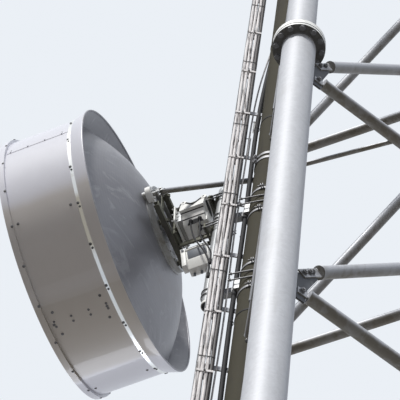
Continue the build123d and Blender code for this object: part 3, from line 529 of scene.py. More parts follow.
def prepare_finishes(looks):
    """Makes every material from the colours of the panel."""
    dark_tone, shade, soot, damp = looks.dark_tone, looks.shade, looks.radio_soot_and_shade, looks.jacket_soot
    FINISH.update(
        leg=zinc_finish("weathered_zinc_leg", looks.leg_zinc, dark_tone, 0.55, 0.2, 0.5, 34.0, 0.3),
        # Leg C: painted shadow, a much darker copy of the leg zinc.
        old_leg=zinc_finish("shaded_zinc_leg", looks.shaded_zinc, shade, 0.8, 0.0, 1.9, 20.0, 0.15),
        # Flange rings: painted light, the radio's near-white paint on zinc so the rings read as sunlit;
        # their strong underside darkening is painted shade.
        ring=zinc_finish("flange_zinc", looks.radio_paint, shade, 0.5, 0.15, 1.3),
        # Gussets: painted shade, a darker copy of the plate zinc.
        gusset=zinc_finish("shaded_gusset_zinc", looks.shaded_gusset_zinc, shade, 0.6, 0.15, 1.0, 34.0, 0.3),
        channel=zinc_finish("channel_zinc", looks.channel_zinc, shade, 0.6, 0.1, 0.8, 50.0, 0.3),
        brace=zinc_finish("weathered_zinc_brace", looks.brace_zinc, dark_tone, 0.46, 0.35, 1.0),
        plate=zinc_finish("weathered_zinc_plate", looks.plate_zinc, shade, 0.5, 0.3, 1.1),
        mount=zinc_finish("weathered_zinc_mount", looks.mount_zinc, dark_tone, 0.4, 0.35, 0.7, 60.0),
        bolt=zinc_finish("spun_zinc_bolt", looks.bolt_zinc, shade, 0.5, 0.5, 0.8, 120.0),
        paint=dish_paint("shroud_paint", looks.dish_paint, looks.dish_painted_ground),
        bowl=spun_aluminium("spun_bowl", looks.aluminium, looks.bowl_stain),
        strip=bright_strip("bright_strip", looks.bright_metal),
        radio=cast_paint("cast_radio_paint", looks.radio_paint, soot),
        casting=cast_paint("clean_casting_paint", looks.radio_paint, soot, 0.25),
        cable=cable_jacket("pale_cable_jacket", looks.pale_jacket, damp),
        dark_cable=cable_jacket("dark_cable_jacket", looks.dark_jacket, damp),
        slate=cast_paint("slate_panel_paint", looks.slate, soot, 0.4),
        rubber=black_rubber("jumper_rubber", looks.rubber),
        radome=radome_cloth("radome_cloth", looks.dish_paint),
    )


def polish(node, finish):
    """Gives a node of the CAD frame its finish."""
    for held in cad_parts[node].material_slots:
        held.material = FINISH[finish]


def piece(bm, name, finish, stands_for=(), sharp=38, merge=1e-5):
    """Turns a bmesh into a finished piece that rides on the tower."""
    if merge:
        bmesh.ops.remove_doubles(bm, verts=bm.verts, dist=merge)
    bmesh.ops.recalc_face_normals(bm, faces=bm.faces)
    mesh = bpy.data.meshes.new(name)
    bm.to_mesh(mesh)
    bm.free()
    mesh.shade_smooth()
    mesh.set_sharp_from_angle(angle=math.radians(sharp))
    made = bpy.data.objects.new(name, mesh)
    bpy.context.scene.collection.objects.link(made)
    mesh.materials.append(FINISH[finish])
    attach(made, "root")
    if stands_for:
        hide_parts(*stands_for)
    return made


def rim(verts):
    """Edges of some vertices, each once and in a fixed order."""
    return list(dict.fromkeys(edge for vert in verts for edge in vert.link_edges))


def round_edges(bm, edges, width, segments=2):
    """Rounds edges."""
    bmesh.ops.bevel(
        bm, geom=edges, offset=width, offset_type="OFFSET", segments=segments,
        profile=0.5, affect="EDGES", material=-1, clamp_overlap=True,
    )


def block(bm, place, across, up, back, edge=0.0, segments=2):
    """Box in a frame from three (low, high) spans."""
    spans = (across, up, back)
    middle = Matrix.Translation([(low + high) / 2 for low, high in spans])
    size = Matrix.Diagonal([high - low for low, high in spans] + [1])
    made = bmesh.ops.create_cube(bm, size=1, matrix=place @ middle @ size)
    if edge:
        round_edges(bm, rim(made["verts"]), edge, segments)


def rod(bm, place, radius, low, high, sides=20, tip=None, edge=0.0):
    """Round or many-sided bar along a frame's Z, with a tip of another radius."""
    made = bmesh.ops.create_cone(
        bm, cap_ends=True, segments=sides, radius1=radius, radius2=radius if tip is None else tip,
        depth=high - low, matrix=at(place, z=(low + high) / 2),
    )
    if edge:
        ends = [e for e in rim(made["verts"]) if any(len(f.verts) > 4 for f in e.link_faces)]
        round_edges(bm, ends, edge, 2)


def between(bm, start, end, radius, sides=16, edge=0.0):
    """Round bar from one point to another."""
    run = end - start
    side = UP if abs(run.normalized().z) < 0.9 else Vector((1, 0, 0))
    rod(bm, axes(start, side, run), radius, 0, run.length, sides, None, edge)


def turned(bm, place, profile, steps=96, angle=math.tau):
    """Shape spun about a frame's Z from a closed profile of (radius, height) points."""
    verts = [bm.verts.new(put(place, radius, 0, height)) for radius, height in profile]
    edges = [bm.edges.new(pair) for pair in zip(verts, verts[1:])]
    edges.append(bm.edges.new((verts[-1], verts[0])))
    bmesh.ops.spin(
        bm, geom=verts + edges, cent=place.translation, axis=facing(place, 0, 0, 1),
        dvec=(0, 0, 0), angle=angle, space=Matrix.Identity(4), steps=steps,
        use_merge=angle == math.tau, use_normal_flip=False, use_duplicate=False,
    )


def hoop(inner, outer, half):
    """Profile of a flat band round a pipe."""
    return [(inner, -half), (outer, -half), (outer, half), (inner, half)]


def plate(bm, place, outline, low, high, edge=0.0, segments=2):
    """Flat plate in a frame: an outline in X and Y, and a span of Z."""
    verts = [bm.verts.new(put(place, x, y, low)) for x, y in outline]
    face = bm.faces.new(verts)
    grown = bmesh.ops.extrude_face_region(bm, geom=[face])["geom"]
    moved = [v for v in grown if isinstance(v, bmesh.types.BMVert)]
    bmesh.ops.translate(bm, verts=moved, vec=facing(place, 0, 0, high - low))
    if edge:
        round_edges(bm, rim(verts + moved), edge, segments)


def apart(bm, build, *values):
    """Builds something in a mesh of its own and adds it, which is quicker in a long mesh."""
    part = bmesh.new()
    build(part, *values)
    held = bpy.data.meshes.new("part")
    part.to_mesh(held)
    part.free()
    bm.from_mesh(held)
    bpy.data.meshes.remove(held)


def swept(bm, points, radius, sides=10):
    """Round wire drawn along points, with closed ends."""
    apart(bm, draw, points, radius, sides)


def draw(bm, points, radius, sides):
    """Grows a wire ring by ring along points."""
    ring = None
    side = Vector((0.3, 0.5, 0.8))
    for here, ahead, behind in zip(points, points[1:] + points[-1:], points[:1] + points[:-1]):
        place = axes(here, side, ahead - behind)
        side = facing(place, 1, 0, 0)
        if ring is None:
            made = bmesh.ops.create_circle(
                bm, cap_ends=True, segments=sides, radius=radius, matrix=place
            )
            ring, last = made["verts"], place
            edges = [e for e in rim(ring) if len(e.link_faces) < 2]
            continue
        grown = bmesh.ops.extrude_edge_only(bm, edges=edges)["geom"]
        ring = [v for v in grown if isinstance(v, bmesh.types.BMVert)]
        edges = [e for e in grown if isinstance(e, bmesh.types.BMEdge) and not e.link_faces[1:]]
        bmesh.ops.transform(bm, matrix=place @ last.inverted(), verts=ring)
        last = place
    bmesh.ops.contextual_create(bm, geom=edges)


def bolt(bm, place, radius, low, high, tail=0.02, sides=10):
    """Bolt through a grip: head and washer below it, washer, nut and thread above."""
    apart(bm, whole_bolt, place, radius, low, high, tail, sides)


def whole_bolt(bm, place, radius, low, high, tail, sides):
    """Shapes of one bolt."""
    washer = radius * 0.28
    flats = radius * 1.75
    for start, end in ((low - washer, low), (high, high + washer)):
        rod(bm, place, radius * 2.1, start, end, sides + 4)
    rod(bm, place, flats, low - washer - radius * 1.3, low - washer, 6, None, radius * 0.16)
    rod(bm, place, flats, high + washer, high + washer + radius * 1.5, 6, None, radius * 0.16)
    rod(bm, place, radius, low, high + washer + radius * 1.5 + tail, sides)


def weld(bm, place, radius, low, high, size=0.006, steps=64):
    """Weld bead round a tube, between the tube and a plate across it."""
    lip = size * 0.35
    profile = [(radius - lip, low), (radius + size, low), (radius + size * 0.5, (low + high) / 2)]
    turned(bm, place, profile + [(radius + lip * 0.3, high), (radius - lip, high)], steps)


def colour_property(name, description, default):
    """Colour that a user may change."""
    return bpy.props.FloatVectorProperty(
        name=name, description=description, default=default, subtype="COLOR", size=3, min=0, max=1
    )


def length_property(name, description, default):
    """Length that a user may change."""
    return bpy.props.FloatProperty(
        name=name, description=description, default=default, unit="LENGTH", min=0.0005, max=10
    )


class TowerLooks(bpy.types.PropertyGroup):
    """Colours of the tower's finishes."""

    # Painted shadow: leg C takes a much darker copy of the leg zinc, standing in for the shadow of leg
    # A that lies on it.
    shaded_zinc: colour_property("Aged zinc", "Old zinc of the ladder's leg", (0.062, 0.057, 0.041))
    brace_zinc: colour_property("Brace zinc", "Zinc of the bracing", (0.46, 0.47, 0.50))
    plate_zinc: colour_property("Plate zinc", "Zinc of plates and rings", (0.30, 0.31, 0.33))
    mount_zinc: colour_property("Mount zinc", "Zinc of the dish mount", (0.40, 0.41, 0.42))
    leg_zinc: colour_property("Leg zinc", "Zinc of legs A and B", (0.54, 0.55, 0.575))
    # Painted shade: gussets and tongues take a darker copy of the plate zinc, standing in for the shade
    # they sit in.
    shaded_gusset_zinc: colour_property("Gusset zinc", "Zinc of gussets and tongues", (0.13, 0.137, 0.15))
    channel_zinc: colour_property("Channel zinc", "Aged zinc behind the ring", (0.12, 0.12, 0.09))
    bolt_zinc: colour_property("Bolt zinc", "Zinc of bolts and nuts", (0.30, 0.30, 0.31))
    # Dark colour mixed into legs, bracing and mount: real dirt in the streaks, and painted shade and
    # ground reflection on the undersides.
    dark_tone: colour_property("Grime", "Soil on undersides of tubes", (0.13, 0.115, 0.085))
    # Dark colour mixed into leg C, rings, gussets, channels, plates and bolts: real dirt in the
    # streaks, and painted shade on the undersides.
    shade: colour_property("Deep soil", "Soil round plates and bolts", (0.045, 0.042, 0.036))
    dish_paint: colour_property("Dish paint", "Paint of the shroud", (0.68, 0.67, 0.70))
    # Painted brown ground reflection and shade low on the shroud.
    dish_painted_ground: colour_property("Dish soil", "Film of dirt low on the shroud", (0.36, 0.31, 0.23))
    aluminium: colour_property("Bowl metal", "Spun back of the dish", (0.32, 0.32, 0.345))
    bowl_stain: colour_property("Bowl stain", "Stain on the spun back", (0.20, 0.18, 0.16))
    bright_metal: colour_property("Strip metal", "Bright strip on the shroud", (0.72, 0.73, 0.72))
    radio_paint: colour_property("Radio paint", "Paint of the radio castings", (0.86, 0.86, 0.83))
    # Dark colour of the castings: real dirt in the specks, and painted shade on the undersides.
    radio_soot_and_shade: colour_property("Radio soil", "Soot under the castings", (0.12, 0.09, 0.06))
    slate: colour_property("Slate", "Dark panel of the second box", (0.10, 0.12, 0.15))
    pale_jacket: colour_property("Pale jacket", "Chalky feeder jackets", (0.74, 0.71, 0.70))
    dark_jacket: colour_property("Dark jacket", "Dark feeder jackets", (0.05, 0.045, 0.045))
    jacket_soot: colour_property("Jacket soot", "Soot between the feeders", (0.05, 0.04, 0.036))
    rubber: colour_property("Rubber", "Jumpers, boots and ties", (0.02, 0.02, 0.022))


class TowerSizes(bpy.types.PropertyGroup):
    """Sizes of the small pieces."""

    splice_bolt: length_property("Splice bolt", "Radius of the flange bolts", 0.013)
    brace_bolt: length_property("Brace bolt", "Radius of the gusset bolts", 0.0115)
    anchor_bolt: length_property("Anchor bolt", "Radius of the anchor bolts", 0.015)
    band_screw: length_property("Dish screw", "Head radius of the dish's screws", 0.0105)
    weld_size: length_property("Weld", "Leg of the weld beads", 0.008)


class TowerStage(bpy.types.PropertyGroup):
    """Stage round the tower."""

    lens: bpy.props.FloatProperty(
        name="Lens", description="Focal length for a 36 mm sensor", default=220.5, min=20, max=800
    )
    backdrop: colour_property("Backdrop", "Pale colour of sky and floor", (0.83, 0.87, 0.92))
    sun: bpy.props.FloatProperty(name="Sun", description="Strength of the key", default=3.3, min=0)
    floor_radius: length_property("Floor radius", "Radius of the pale floor", 6.4)


def cord_curve(node, points):
    """Round cord on one smooth spline with these control points; it stands for a node."""
    name = node + "_cord"
    data = bpy.data.curves.new(name, "CURVE")
    data.dimensions = "3D"
    data.bevel_depth = JUMPER_RADIUS
    data.bevel_resolution = 4
    data.resolution_u = 16
    data.use_fill_caps = True
    spline = data.splines.new("NURBS")
    spline.points.add(len(points) - 1)
    for held, point in zip(spline.points, points):
        held.co = (*point, 1)
    spline.order_u = 3
    spline.use_endpoint_u = True
    made = bpy.data.objects.new(name, data)
    bpy.context.scene.collection.objects.link(made)
    data.materials.append(FINISH["rubber"])
    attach(made, "root")
    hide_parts(node)
    return made


def cord_boot(bm, place, low, high):
    """Tapered strain relief with a ribbed grip and a knurled collar."""
    rod(bm, place, 0.021, low, low + 0.022, 18, None, 0.002)
    rod(bm, place, 0.0165, low + 0.022, high * 0.6, 18, 0.0125)
    rod(bm, place, 0.0125, high * 0.6, high, 18, 0.0088)
    for step in range(3):
        start = low + 0.028 + step * 0.009
        rod(bm, place, 0.0175, start, start + 0.004, 18, None, 0.001)


def joint_piece(v, top, name):
    """Weatherproof joint on the ladder's outer stile, moulded round a jumper's end."""
    bm = bmesh.new()
    place = at(LEG_C, JOINT_MIDDLE, v, top)
    block(bm, place, (-0.015, 0.013), (-0.012, 0.012), (-0.086, -0.012), 0.005, 3)
    rod(bm, place, 0.0115, -0.09, 0, 20, None, 0.002)
    rod(bm, place, 0.0105, 0, 0.03, 20, 0.0086)
    for level in (-0.072, -0.03):
        rod(bm, place, 0.0145, level - 0.004, level + 0.004, 20, None, 0.001)
    return piece(bm, name, "rubber")


def boot_piece(start, name):
    """Strain relief under the radio unit at a jumper's exit."""
    bm = bmesh.new()
    cord_boot(bm, axes(start, DISH_FRONT, facing(DISH, 0, -1, 0)), 0, 0.062)
    return piece(bm, name, "rubber")


class TOWER_OT_jumpers(bpy.types.Operator):
    """Two jumpers from the radio unit to their joints on the ladder"""

    bl_idname = "tower.jumpers"
    bl_label = "Jumpers"

    def execute(self, context):
        joints, cords, exits = [], [], []
        for name, (_length, _back, _drop, top, route) in JUMPERS.items():
            joints.append(joint_piece(route[-1][1], top, "jumper_joint_" + name))
        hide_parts("jumper_joints")
        for name, (_length, back, drop, top, route) in JUMPERS.items():
            points = [put(DISH, JUMPER_ACROSS, RADIO_FLOOR - below, back) for below in (0, drop)]
            points += [put(LEG_C, JOINT_MIDDLE + out, v, top + rise) for out, v, rise in route]
            cords.append(cord_curve("jumper_" + name, points))
            exits.append(points[0])
        boots = [boot_piece(start, "jumper_boot_" + name) for name, start in zip(JUMPERS, exits)]
        return {"FINISHED"}


# Nodes that the CAD frame gives, by finish
KEPT_NODES = {
    "leg": "leg_a_lower leg_a_middle leg_a_upper leg_b_lower leg_b_middle leg_b_upper",
    # Leg C takes the darker zinc that paints the shadow on it.
    "old_leg": "leg_c_lower leg_c_middle leg_c_upper",
    "gusset": "gussets_face_ab gussets_face_bc gussets_face_ca",
    "brace": "horizontals_face_ab horizontals_face_bc horizontals_face_ca "
             "diagonals_face_ab diagonals_face_bc diagonals_face_ca plan_brace ladder_arms",
    "ring": "splice_rings_under",
    "plate": "base_plate_a base_plate_b base_plate_c base_ribs leg_top_plates cable_ladder",
    "mount": "dish_pipe pipe_standoffs pipe_clamps",
    "cable": "cable_hangers",
    "paint": "dish_shroud dish_front_band",
    "strip": "dish_rear_strip",
    "radome": "dish_radome",
}


class TOWER_OT_structure(bpy.types.Operator):
    """Finishes of the legs, plates and bracing that the CAD frame gives"""

    bl_idname = "tower.structure"
    bl_label = "Structure finishes"

    def execute(self, context):
        prepare_finishes(context.scene.tower_looks)
        for finish, nodes in KEPT_NODES.items():
            for node in nodes.split():
                polish(node, finish)
        return {"FINISHED"}


def ring_profile(inner):
    """Upper ring of a joint, from the leg's surface outwards, with eased edges."""
    edge = RING_RADIUS - RING_EASE
    return [
        (inner - 0.001, 0.0), (edge, 0.0), (RING_RADIUS, RING_EASE),
        (RING_RADIUS, RING_OVER - RING_EASE), (edge, RING_OVER), (inner - 0.001, RING_OVER),
    ]


class TOWER_OT_leg_joints(bpy.types.Operator):
    """Flange bolts, welds and anchor bolts of the legs"""

    bl_idname = "tower.leg_joints"
    bl_label = "Leg joints"

    def execute(self, context):
        sizes = context.scene.tower_sizes
        bolts, beads, seam_shade_rings, rings = (bmesh.new() for _n in range(4))
        for leg, (radii, seams) in enumerate(LEGS):
            for seam, below, above in zip(seams, radii, radii[1:]):
                place = leg_frame(leg, seam)
                for n in range(SPLICE_BOLTS):
                    spot = at(swung(place, 360 / SPLICE_BOLTS * n), SPLICE_CIRCLE)
                    bolt(bolts, spot, sizes.splice_bolt, -RING_THICK, RING_OVER, 0.012)
                weld(beads, place, below, -RING_THICK, -RING_THICK - WELD_RISE, sizes.weld_size)
                weld(beads, place, above, RING_OVER, RING_OVER + WELD_RISE, sizes.weld_size)
                turned(rings, place, ring_profile(above), 96)
                # Painted shade: a thin black annulus between the two flange rings stands in for the
                # shade in the seam.
                turned(seam_shade_rings, place, hoop(0.2, RING_RADIUS + 0.0006, 0.006), 96)
            weld(beads, leg_frame(leg, LEG_TOP), radii[2], 0, -0.01, sizes.weld_size)
            inward = MIDDLE - FEET[leg]
            for n in range(4):
                angle = math.atan2(inward.y, inward.x) + math.pi / 2 * n
                turn = Matrix.Translation(FEET[leg]) @ Matrix.Rotation(angle, 4, "Z")
                anchor(bolts, at(turn, ANCHOR_CIRCLE), sizes.anchor_bolt)
            foot = leg_frame(leg, BASE_THICK).translation
            foot.z = BASE_THICK
            weld(beads, Matrix.Translation(foot), radii[0] + 0.002, 0, 0.014, 0.01)
        piece(bolts, "leg_bolts", "bolt", merge=0)
        piece(beads, "leg_welds", "plate")
        piece(seam_shade_rings, "flange_gaps", "rubber")
        piece(rings, "splice_rings_thick", "ring", ["splice_rings_over"])
        return {"FINISHED"}


def anchor(bm, place, radius):
    """Threaded anchor that stands up through a base plate, with washer and two nuts."""
    rod(bm, place, radius, 0.001, ANCHOR_TOP, 16, None, 0.002)
    rod(bm, place, radius * 2.2, BASE_THICK, BASE_THICK + 0.005, 20)
    for low in (BASE_THICK + 0.005, BASE_THICK + 0.031):
        rod(bm, place, radius * 1.75, low, low + 0.025, 6, None, 0.003)


def bar_ends():
    """Each brace end: tube start, bolt spots, and a frame with X out of the face, Z along."""
    found = []
    for _face, legs, rising in FACES:
        place = face_frame(*legs)
        for bay in range(7):
            level = NODE_LEVELS[bay]
            widest = max(leg_radius(leg, level) for leg in legs)
            if bay:
                spot = (widest + TONGUE_GAP + GUSSET_REACH) / 2
                ends = (face_point(1, level), face_point(-1, level))
                found += both_ends(place, ends, LEVEL_START, (spot,))
            if bay < 6:
                ends = (face_point(rising, level), face_point(-rising, NODE_LEVELS[bay + 1]))
                run = (ends[1] - ends[0]).normalized()
                start = (widest + TONGUE_GAP + TONGUE_HALF * run.y) / abs(run.x)
                first = start + BOLT_INSET[0]
                spots = (first, (first + GUSSET_TIP) / 2, GUSSET_TIP - BOLT_INSET[1])
                spots = spots if start < TWO_BOLTS_FROM else spots[::2]
                found += both_ends(place, ends, SLOPING_START, spots)
    return found


def both_ends(place, ends, tube_start, spots):
    """The two ends of one bar."""
    outward = facing(place, 0, 0, 1)
    first, last = (place @ end for end in ends)
    return [
        (tube_start, spots, axes(first, outward, last - first)),
        (tube_start, spots, axes(last, outward, first - last)),
    ]


class TOWER_OT_brace_joints(bpy.types.Operator):
    """Bolts through the brace tongues, and the caps and welds at the tubes' ends"""

    bl_idname = "tower.brace_joints"
    bl_label = "Brace joints"

    def execute(self, context):
        size = context.scene.tower_sizes.brace_bolt
        bolts, caps = bmesh.new(), bmesh.new()
        for tube_start, spots, place in bar_ends():
            outward = facing(place, 1, 0, 0)
            along = facing(place, 0, 0, 1)
            for reach in spots:
                spot = axes(place.translation + along * reach, along, outward)
                bolt(bolts, spot, size, GUSSET_FACE, TONGUE_FACE, 0.008, 8)
            end = at(place, LAP_OFFSET, 0, tube_start)
            rod(caps, end, TUBE_END[0], -0.004, 0.003, 32, None, 0.002)
            weld(caps, end, TUBE_END[1], -0.002, 0.010, 0.0035, 32)
            for side in (-0.0075, 0.0075):
                bead = at(end, side, 0, -0.006)
                block(caps, bead, (-0.004, 0.004), (-0.037, 0.037), (-0.004, 0.006), 0.003, 1)
        piece(bolts, "brace_bolts", "bolt", merge=0)
        piece(caps, "brace_caps", "brace", merge=0)
        return {"FINISHED"}


def cable_place(column, row):
    """Where a feeder crosses leg C's frame; the hanger's stem stands in the middle gap."""
    offset = column - (CABLE_COLUMNS - 1) / 2
    return CABLE_MIDDLE + CABLE_PITCH * offset + math.copysign(0.003, offset), CABLE_ROWS[row]


def cable_line(column, row, waver):
    """Points up the ladder along one feeder, which wanders a little between hangers."""
    u, v = cable_place(column, row)
    phase = column * 2.1 + row * 1.3
    points = []
    for step in range(CABLE_STEPS + 1):
        level = CABLE_ENDS[0] + (CABLE_ENDS[1] - CABLE_ENDS[0]) * step / CABLE_STEPS
        swing = math.sin(level * 6.566 + phase) * 0.6 + math.sin(level * 2.9 + phase * 3) * 0.7
        lift = math.cos(level * 6.566 + phase * 2) * 0.5 + math.sin(level * 3.7 + phase) * 0.4
        points.append(put(LEG_C, u + swing * waver, v + lift * waver * 0.7, level))
    return points


class TOWER_OT_feeders(bpy.types.Operator):
    """Eight feeder cables on the ladder, with their end boots"""

    bl_idname = "tower.feeders"
    bl_label = "Feeder cables"

    def execute(self, context):
        pale, dark, boots = (bmesh.new() for _n in range(3))
        for column in range(CABLE_COLUMNS):
            for row in range(2):
                target = dark if row == 0 or column == 0 else pale
                radius = CABLE_RADIUS - 0.0012 * ((column * 3 + row) % 3)
                swept(target, cable_line(column, row, CABLE_WAVER), radius, 12)
                for end, low, high in ((CABLE_ENDS[0], -0.012, 0.09), (CABLE_ENDS[1], -0.09, 0.012)):
                    spot = at(LEG_C, *cable_place(column, row), end)
                    rod(boots, spot, 0.0175, low, high, 16, None, 0.003)
        piece(pale, "feeder_cables_pale", "cable", ["feeder_cables"])
        piece(dark, "feeder_cables_dark", "dark_cable")
        piece(boots, "feeder_boots", "rubber", merge=0)
        return {"FINISHED"}


def bowl_height(radius, apex=BOWL_APEX, rim=BOWL_RIM):
    """Height of the spun bowl over the lip plane."""
    depth = apex - rim
    ball = (DOME_RADIUS * DOME_RADIUS + depth * depth) / (2 * depth)
    return apex - ball + math.sqrt(ball * ball - radius * radius)


def bowl_profile():
    """Closed section of the bowl: dome, valley, rolled lip and the inner side."""
    reach = [DOME_RADIUS * n / 36 for n in range(37)]
    outer = [(radius, bowl_height(radius)) for radius in reach]
    valley = [(DOME_RADIUS + 0.004, BOWL_RIM), (LIP_RADIUS - 0.013, -0.008)]
    turns = [math.radians(205 - 23 * n) for n in range(10)]
    lip = [(LIP_RADIUS + 0.01 * math.cos(turn), 0.01 * math.sin(turn)) for turn in turns]
    inner_apex = BOWL_APEX - BOWL_SKIN
    inner = [(radius, bowl_height(radius, inner_apex, BOWL_INNER_RIM)) for radius in reversed(reach)]
    return outer + valley + lip + [(LIP_RADIUS - 0.004, -0.014)] + inner


class TOWER_OT_dish(bpy.types.Operator):
    """Spun bowl with its lip, the painted skirt outside it, and the ring on its back"""

    bl_idname = "tower.dish"
    bl_label = "Dish back"

    def execute(self, context):
        bowl = bmesh.new()
        turned(bowl, DISH, bowl_profile(), 192)
        piece(bowl, "dish_bowl", "bowl", ["dish_reflector"], 30)
        skirt = bmesh.new()
        lip, foot = LIP_RADIUS + 0.0095, SKIRT_RADIUS
        turned(skirt, DISH, [
            (lip - 0.006, -0.006), (lip, 0.001), (lip + 0.0005, -0.004),
            (foot + 0.006, SKIRT_FRONT + 0.016), (foot, SKIRT_FRONT + 0.004),
            (foot, SKIRT_FRONT), (foot - 0.008, SKIRT_FRONT),
        ], 192)
        piece(skirt, "dish_skirt", "paint")
        self.back_ring()
        self.strut(put(BOSS, 0, 0, EYE_BACK), put(LEG_C, *STRUT_END))
        return {"FINISHED"}

    def back_ring(self):
        """Cast ring on the bowl with its bolts, the boss and the clevis."""
        ring = bmesh.new()
        inner, outer, rear = RING_BACK
        turned(ring, DISH, [
            (inner, bowl_height(inner) + 0.0008),
            (outer + 0.012, bowl_height(outer + 0.012) + 0.0008),
            (outer + 0.012, bowl_height(outer) + 0.006),
            (outer, bowl_height(outer) + 0.012),
            (outer, rear - 0.005), (outer - 0.005, rear),
            (inner + 0.005, rear), (inner, rear - 0.005),
        ], 128)
        for n in range(RING_BACK_BOLTS):
            spot = at(swung(DISH, 360 / RING_BACK_BOLTS * n + 7), (inner + outer) / 2)
            rod(ring, spot, 0.011, rear, rear + 0.003, 14)
            rod(ring, spot, 0.0085, rear + 0.003, rear + 0.01, 6, None, 0.001)
        rod(ring, BOSS, 0.05, 0.25, 0.3, 32)
        rod(ring, BOSS, 0.022, 0.3, 0.392, 24)
        for angle in (20, 110, 200, 290):
            rod(ring, at(swung(BOSS, angle), 0.05), 0.0075, 0.345, 0.357, 6, None, 0.001)
        for cheek in ((-0.03, -0.022), (0.022, 0.03)):
            block(ring, BOSS, cheek, (-0.03, 0.03), (0.388, 0.452), 0.006, 2)
        block(ring, BOSS, (-0.03, 0.03), (-0.03, 0.03), (0.384, 0.4), 0.003)
        bolt(ring, swung(at(BOSS, z=0.432), 90, "Y"), 0.008, -0.03, 0.03, 0.01, 12)
        piece(ring, "back_ring", "mount", ["hub_ring"], merge=0)
        pad = bmesh.new()
        turned(pad, BOSS, [
            (0, 0.292), (0.079, 0.292), (0.083, 0.296), (0.083, 0.343), (0.078, 0.348), (0, 0.348),
        ], 48)
        piece(pad, "boss_pad", "casting")

    def strut(self, start, end):
        """Side strut: a tube with a flattened eye in the clevis."""
        bm = bmesh.new()
        along = (end - start).normalized()
        between(bm, start + along * 0.03, end - along * 0.045, 0.027, 32)
        place = axes(start, facing(DISH, 1, 0, 0), along)
        block(bm, place, (-0.02, 0.02), (-0.026, 0.026), (-0.012, 0.055), 0.006)
        piece(bm, "strut_tube", "brace", ["side_strut"], merge=0)


def channel(bm, level, low, high):
    """Level channel behind the ring, open towards the dish, with rounded heels."""
    front, rear = CHANNEL_DEPTHS
    bottom, top = level - CHANNEL_HALF, level + CHANNEL_HALF
    for span, depth in (
        ((bottom, top), (rear - CHANNEL_SKIN, rear)),
        ((bottom, bottom + CHANNEL_SKIN), (front, rear - 0.002)),
        ((top - CHANNEL_SKIN, top), (front, rear - 0.002)),
    ):
        block(bm, DISH, (low, high), span, depth, 0.003)


def pipe_level(up, back):
    """Height on the mount pipe nearest to a level of the dish."""
    return (PIPE.inverted() @ DISH @ Vector((0.03, up, back))).z


def round_pipe(frame_at, towards):
    """Frame across a pipe with its X towards a side."""
    return axes(frame_at.translation, towards, facing(frame_at, 0, 0, 1))


def shell(bm, frame_at, towards, radius, thick, half, spread):
    """Half-round saddle on a pipe, open on the far side."""
    place = round_pipe(frame_at, towards) @ Matrix.Rotation(-spread / 2, 4, "Z")
    turned(bm, place, hoop(radius, radius + thick, half), 24, spread)
    bmesh.ops.holes_fill(bm, edges=[edge for edge in bm.edges if edge.is_boundary], sides=4)


def u_bolt(bm, frame_at, towards, radius, wire, reach):
    """U-bolt round a pipe with its legs towards a side, a nut and washer on each."""
    place = round_pipe(frame_at, towards)
    turns = [math.radians(90 + 180 * n / 18) for n in range(19)]
    bend = [(radius * math.cos(turn), radius * math.sin(turn)) for turn in turns]
    route = [(reach, radius)] + bend + [(reach, -radius)]
    swept(bm, [put(place, x, y, 0) for x, y in route], wire, 12)
    for side in (-radius, radius):
        spot = swung(at(place, 0, side), 90, "Y")
        rod(bm, spot, wire * 2.1, reach - 0.03, reach - 0.027, 14)
        rod(bm, spot, wire * 1.7, reach - 0.027, reach - 0.016, 6, None, 0.0015)


def collar(bm, frame_at, towards, radius, thick, half):
    """Two-part band round a pipe with ears and bolts on both sides."""
    place = round_pipe(frame_at, towards)
    turned(bm, place, hoop(radius, radius + thick, half), 64)
    for side in (-1, 1):
        ear = tuple(sorted((side * (radius + thick * 0.5), side * (radius + 0.045))))
        for gap in (-0.013, 0.006):
            block(bm, place, (gap, gap + 0.007), ear, (-half, half), 0.002)
        spot = swung(at(place, 0, side * (radius + 0.027)), 90, "Y")
        bolt(bm, spot, 0.006, -0.013, 0.013, 0.02, 10)


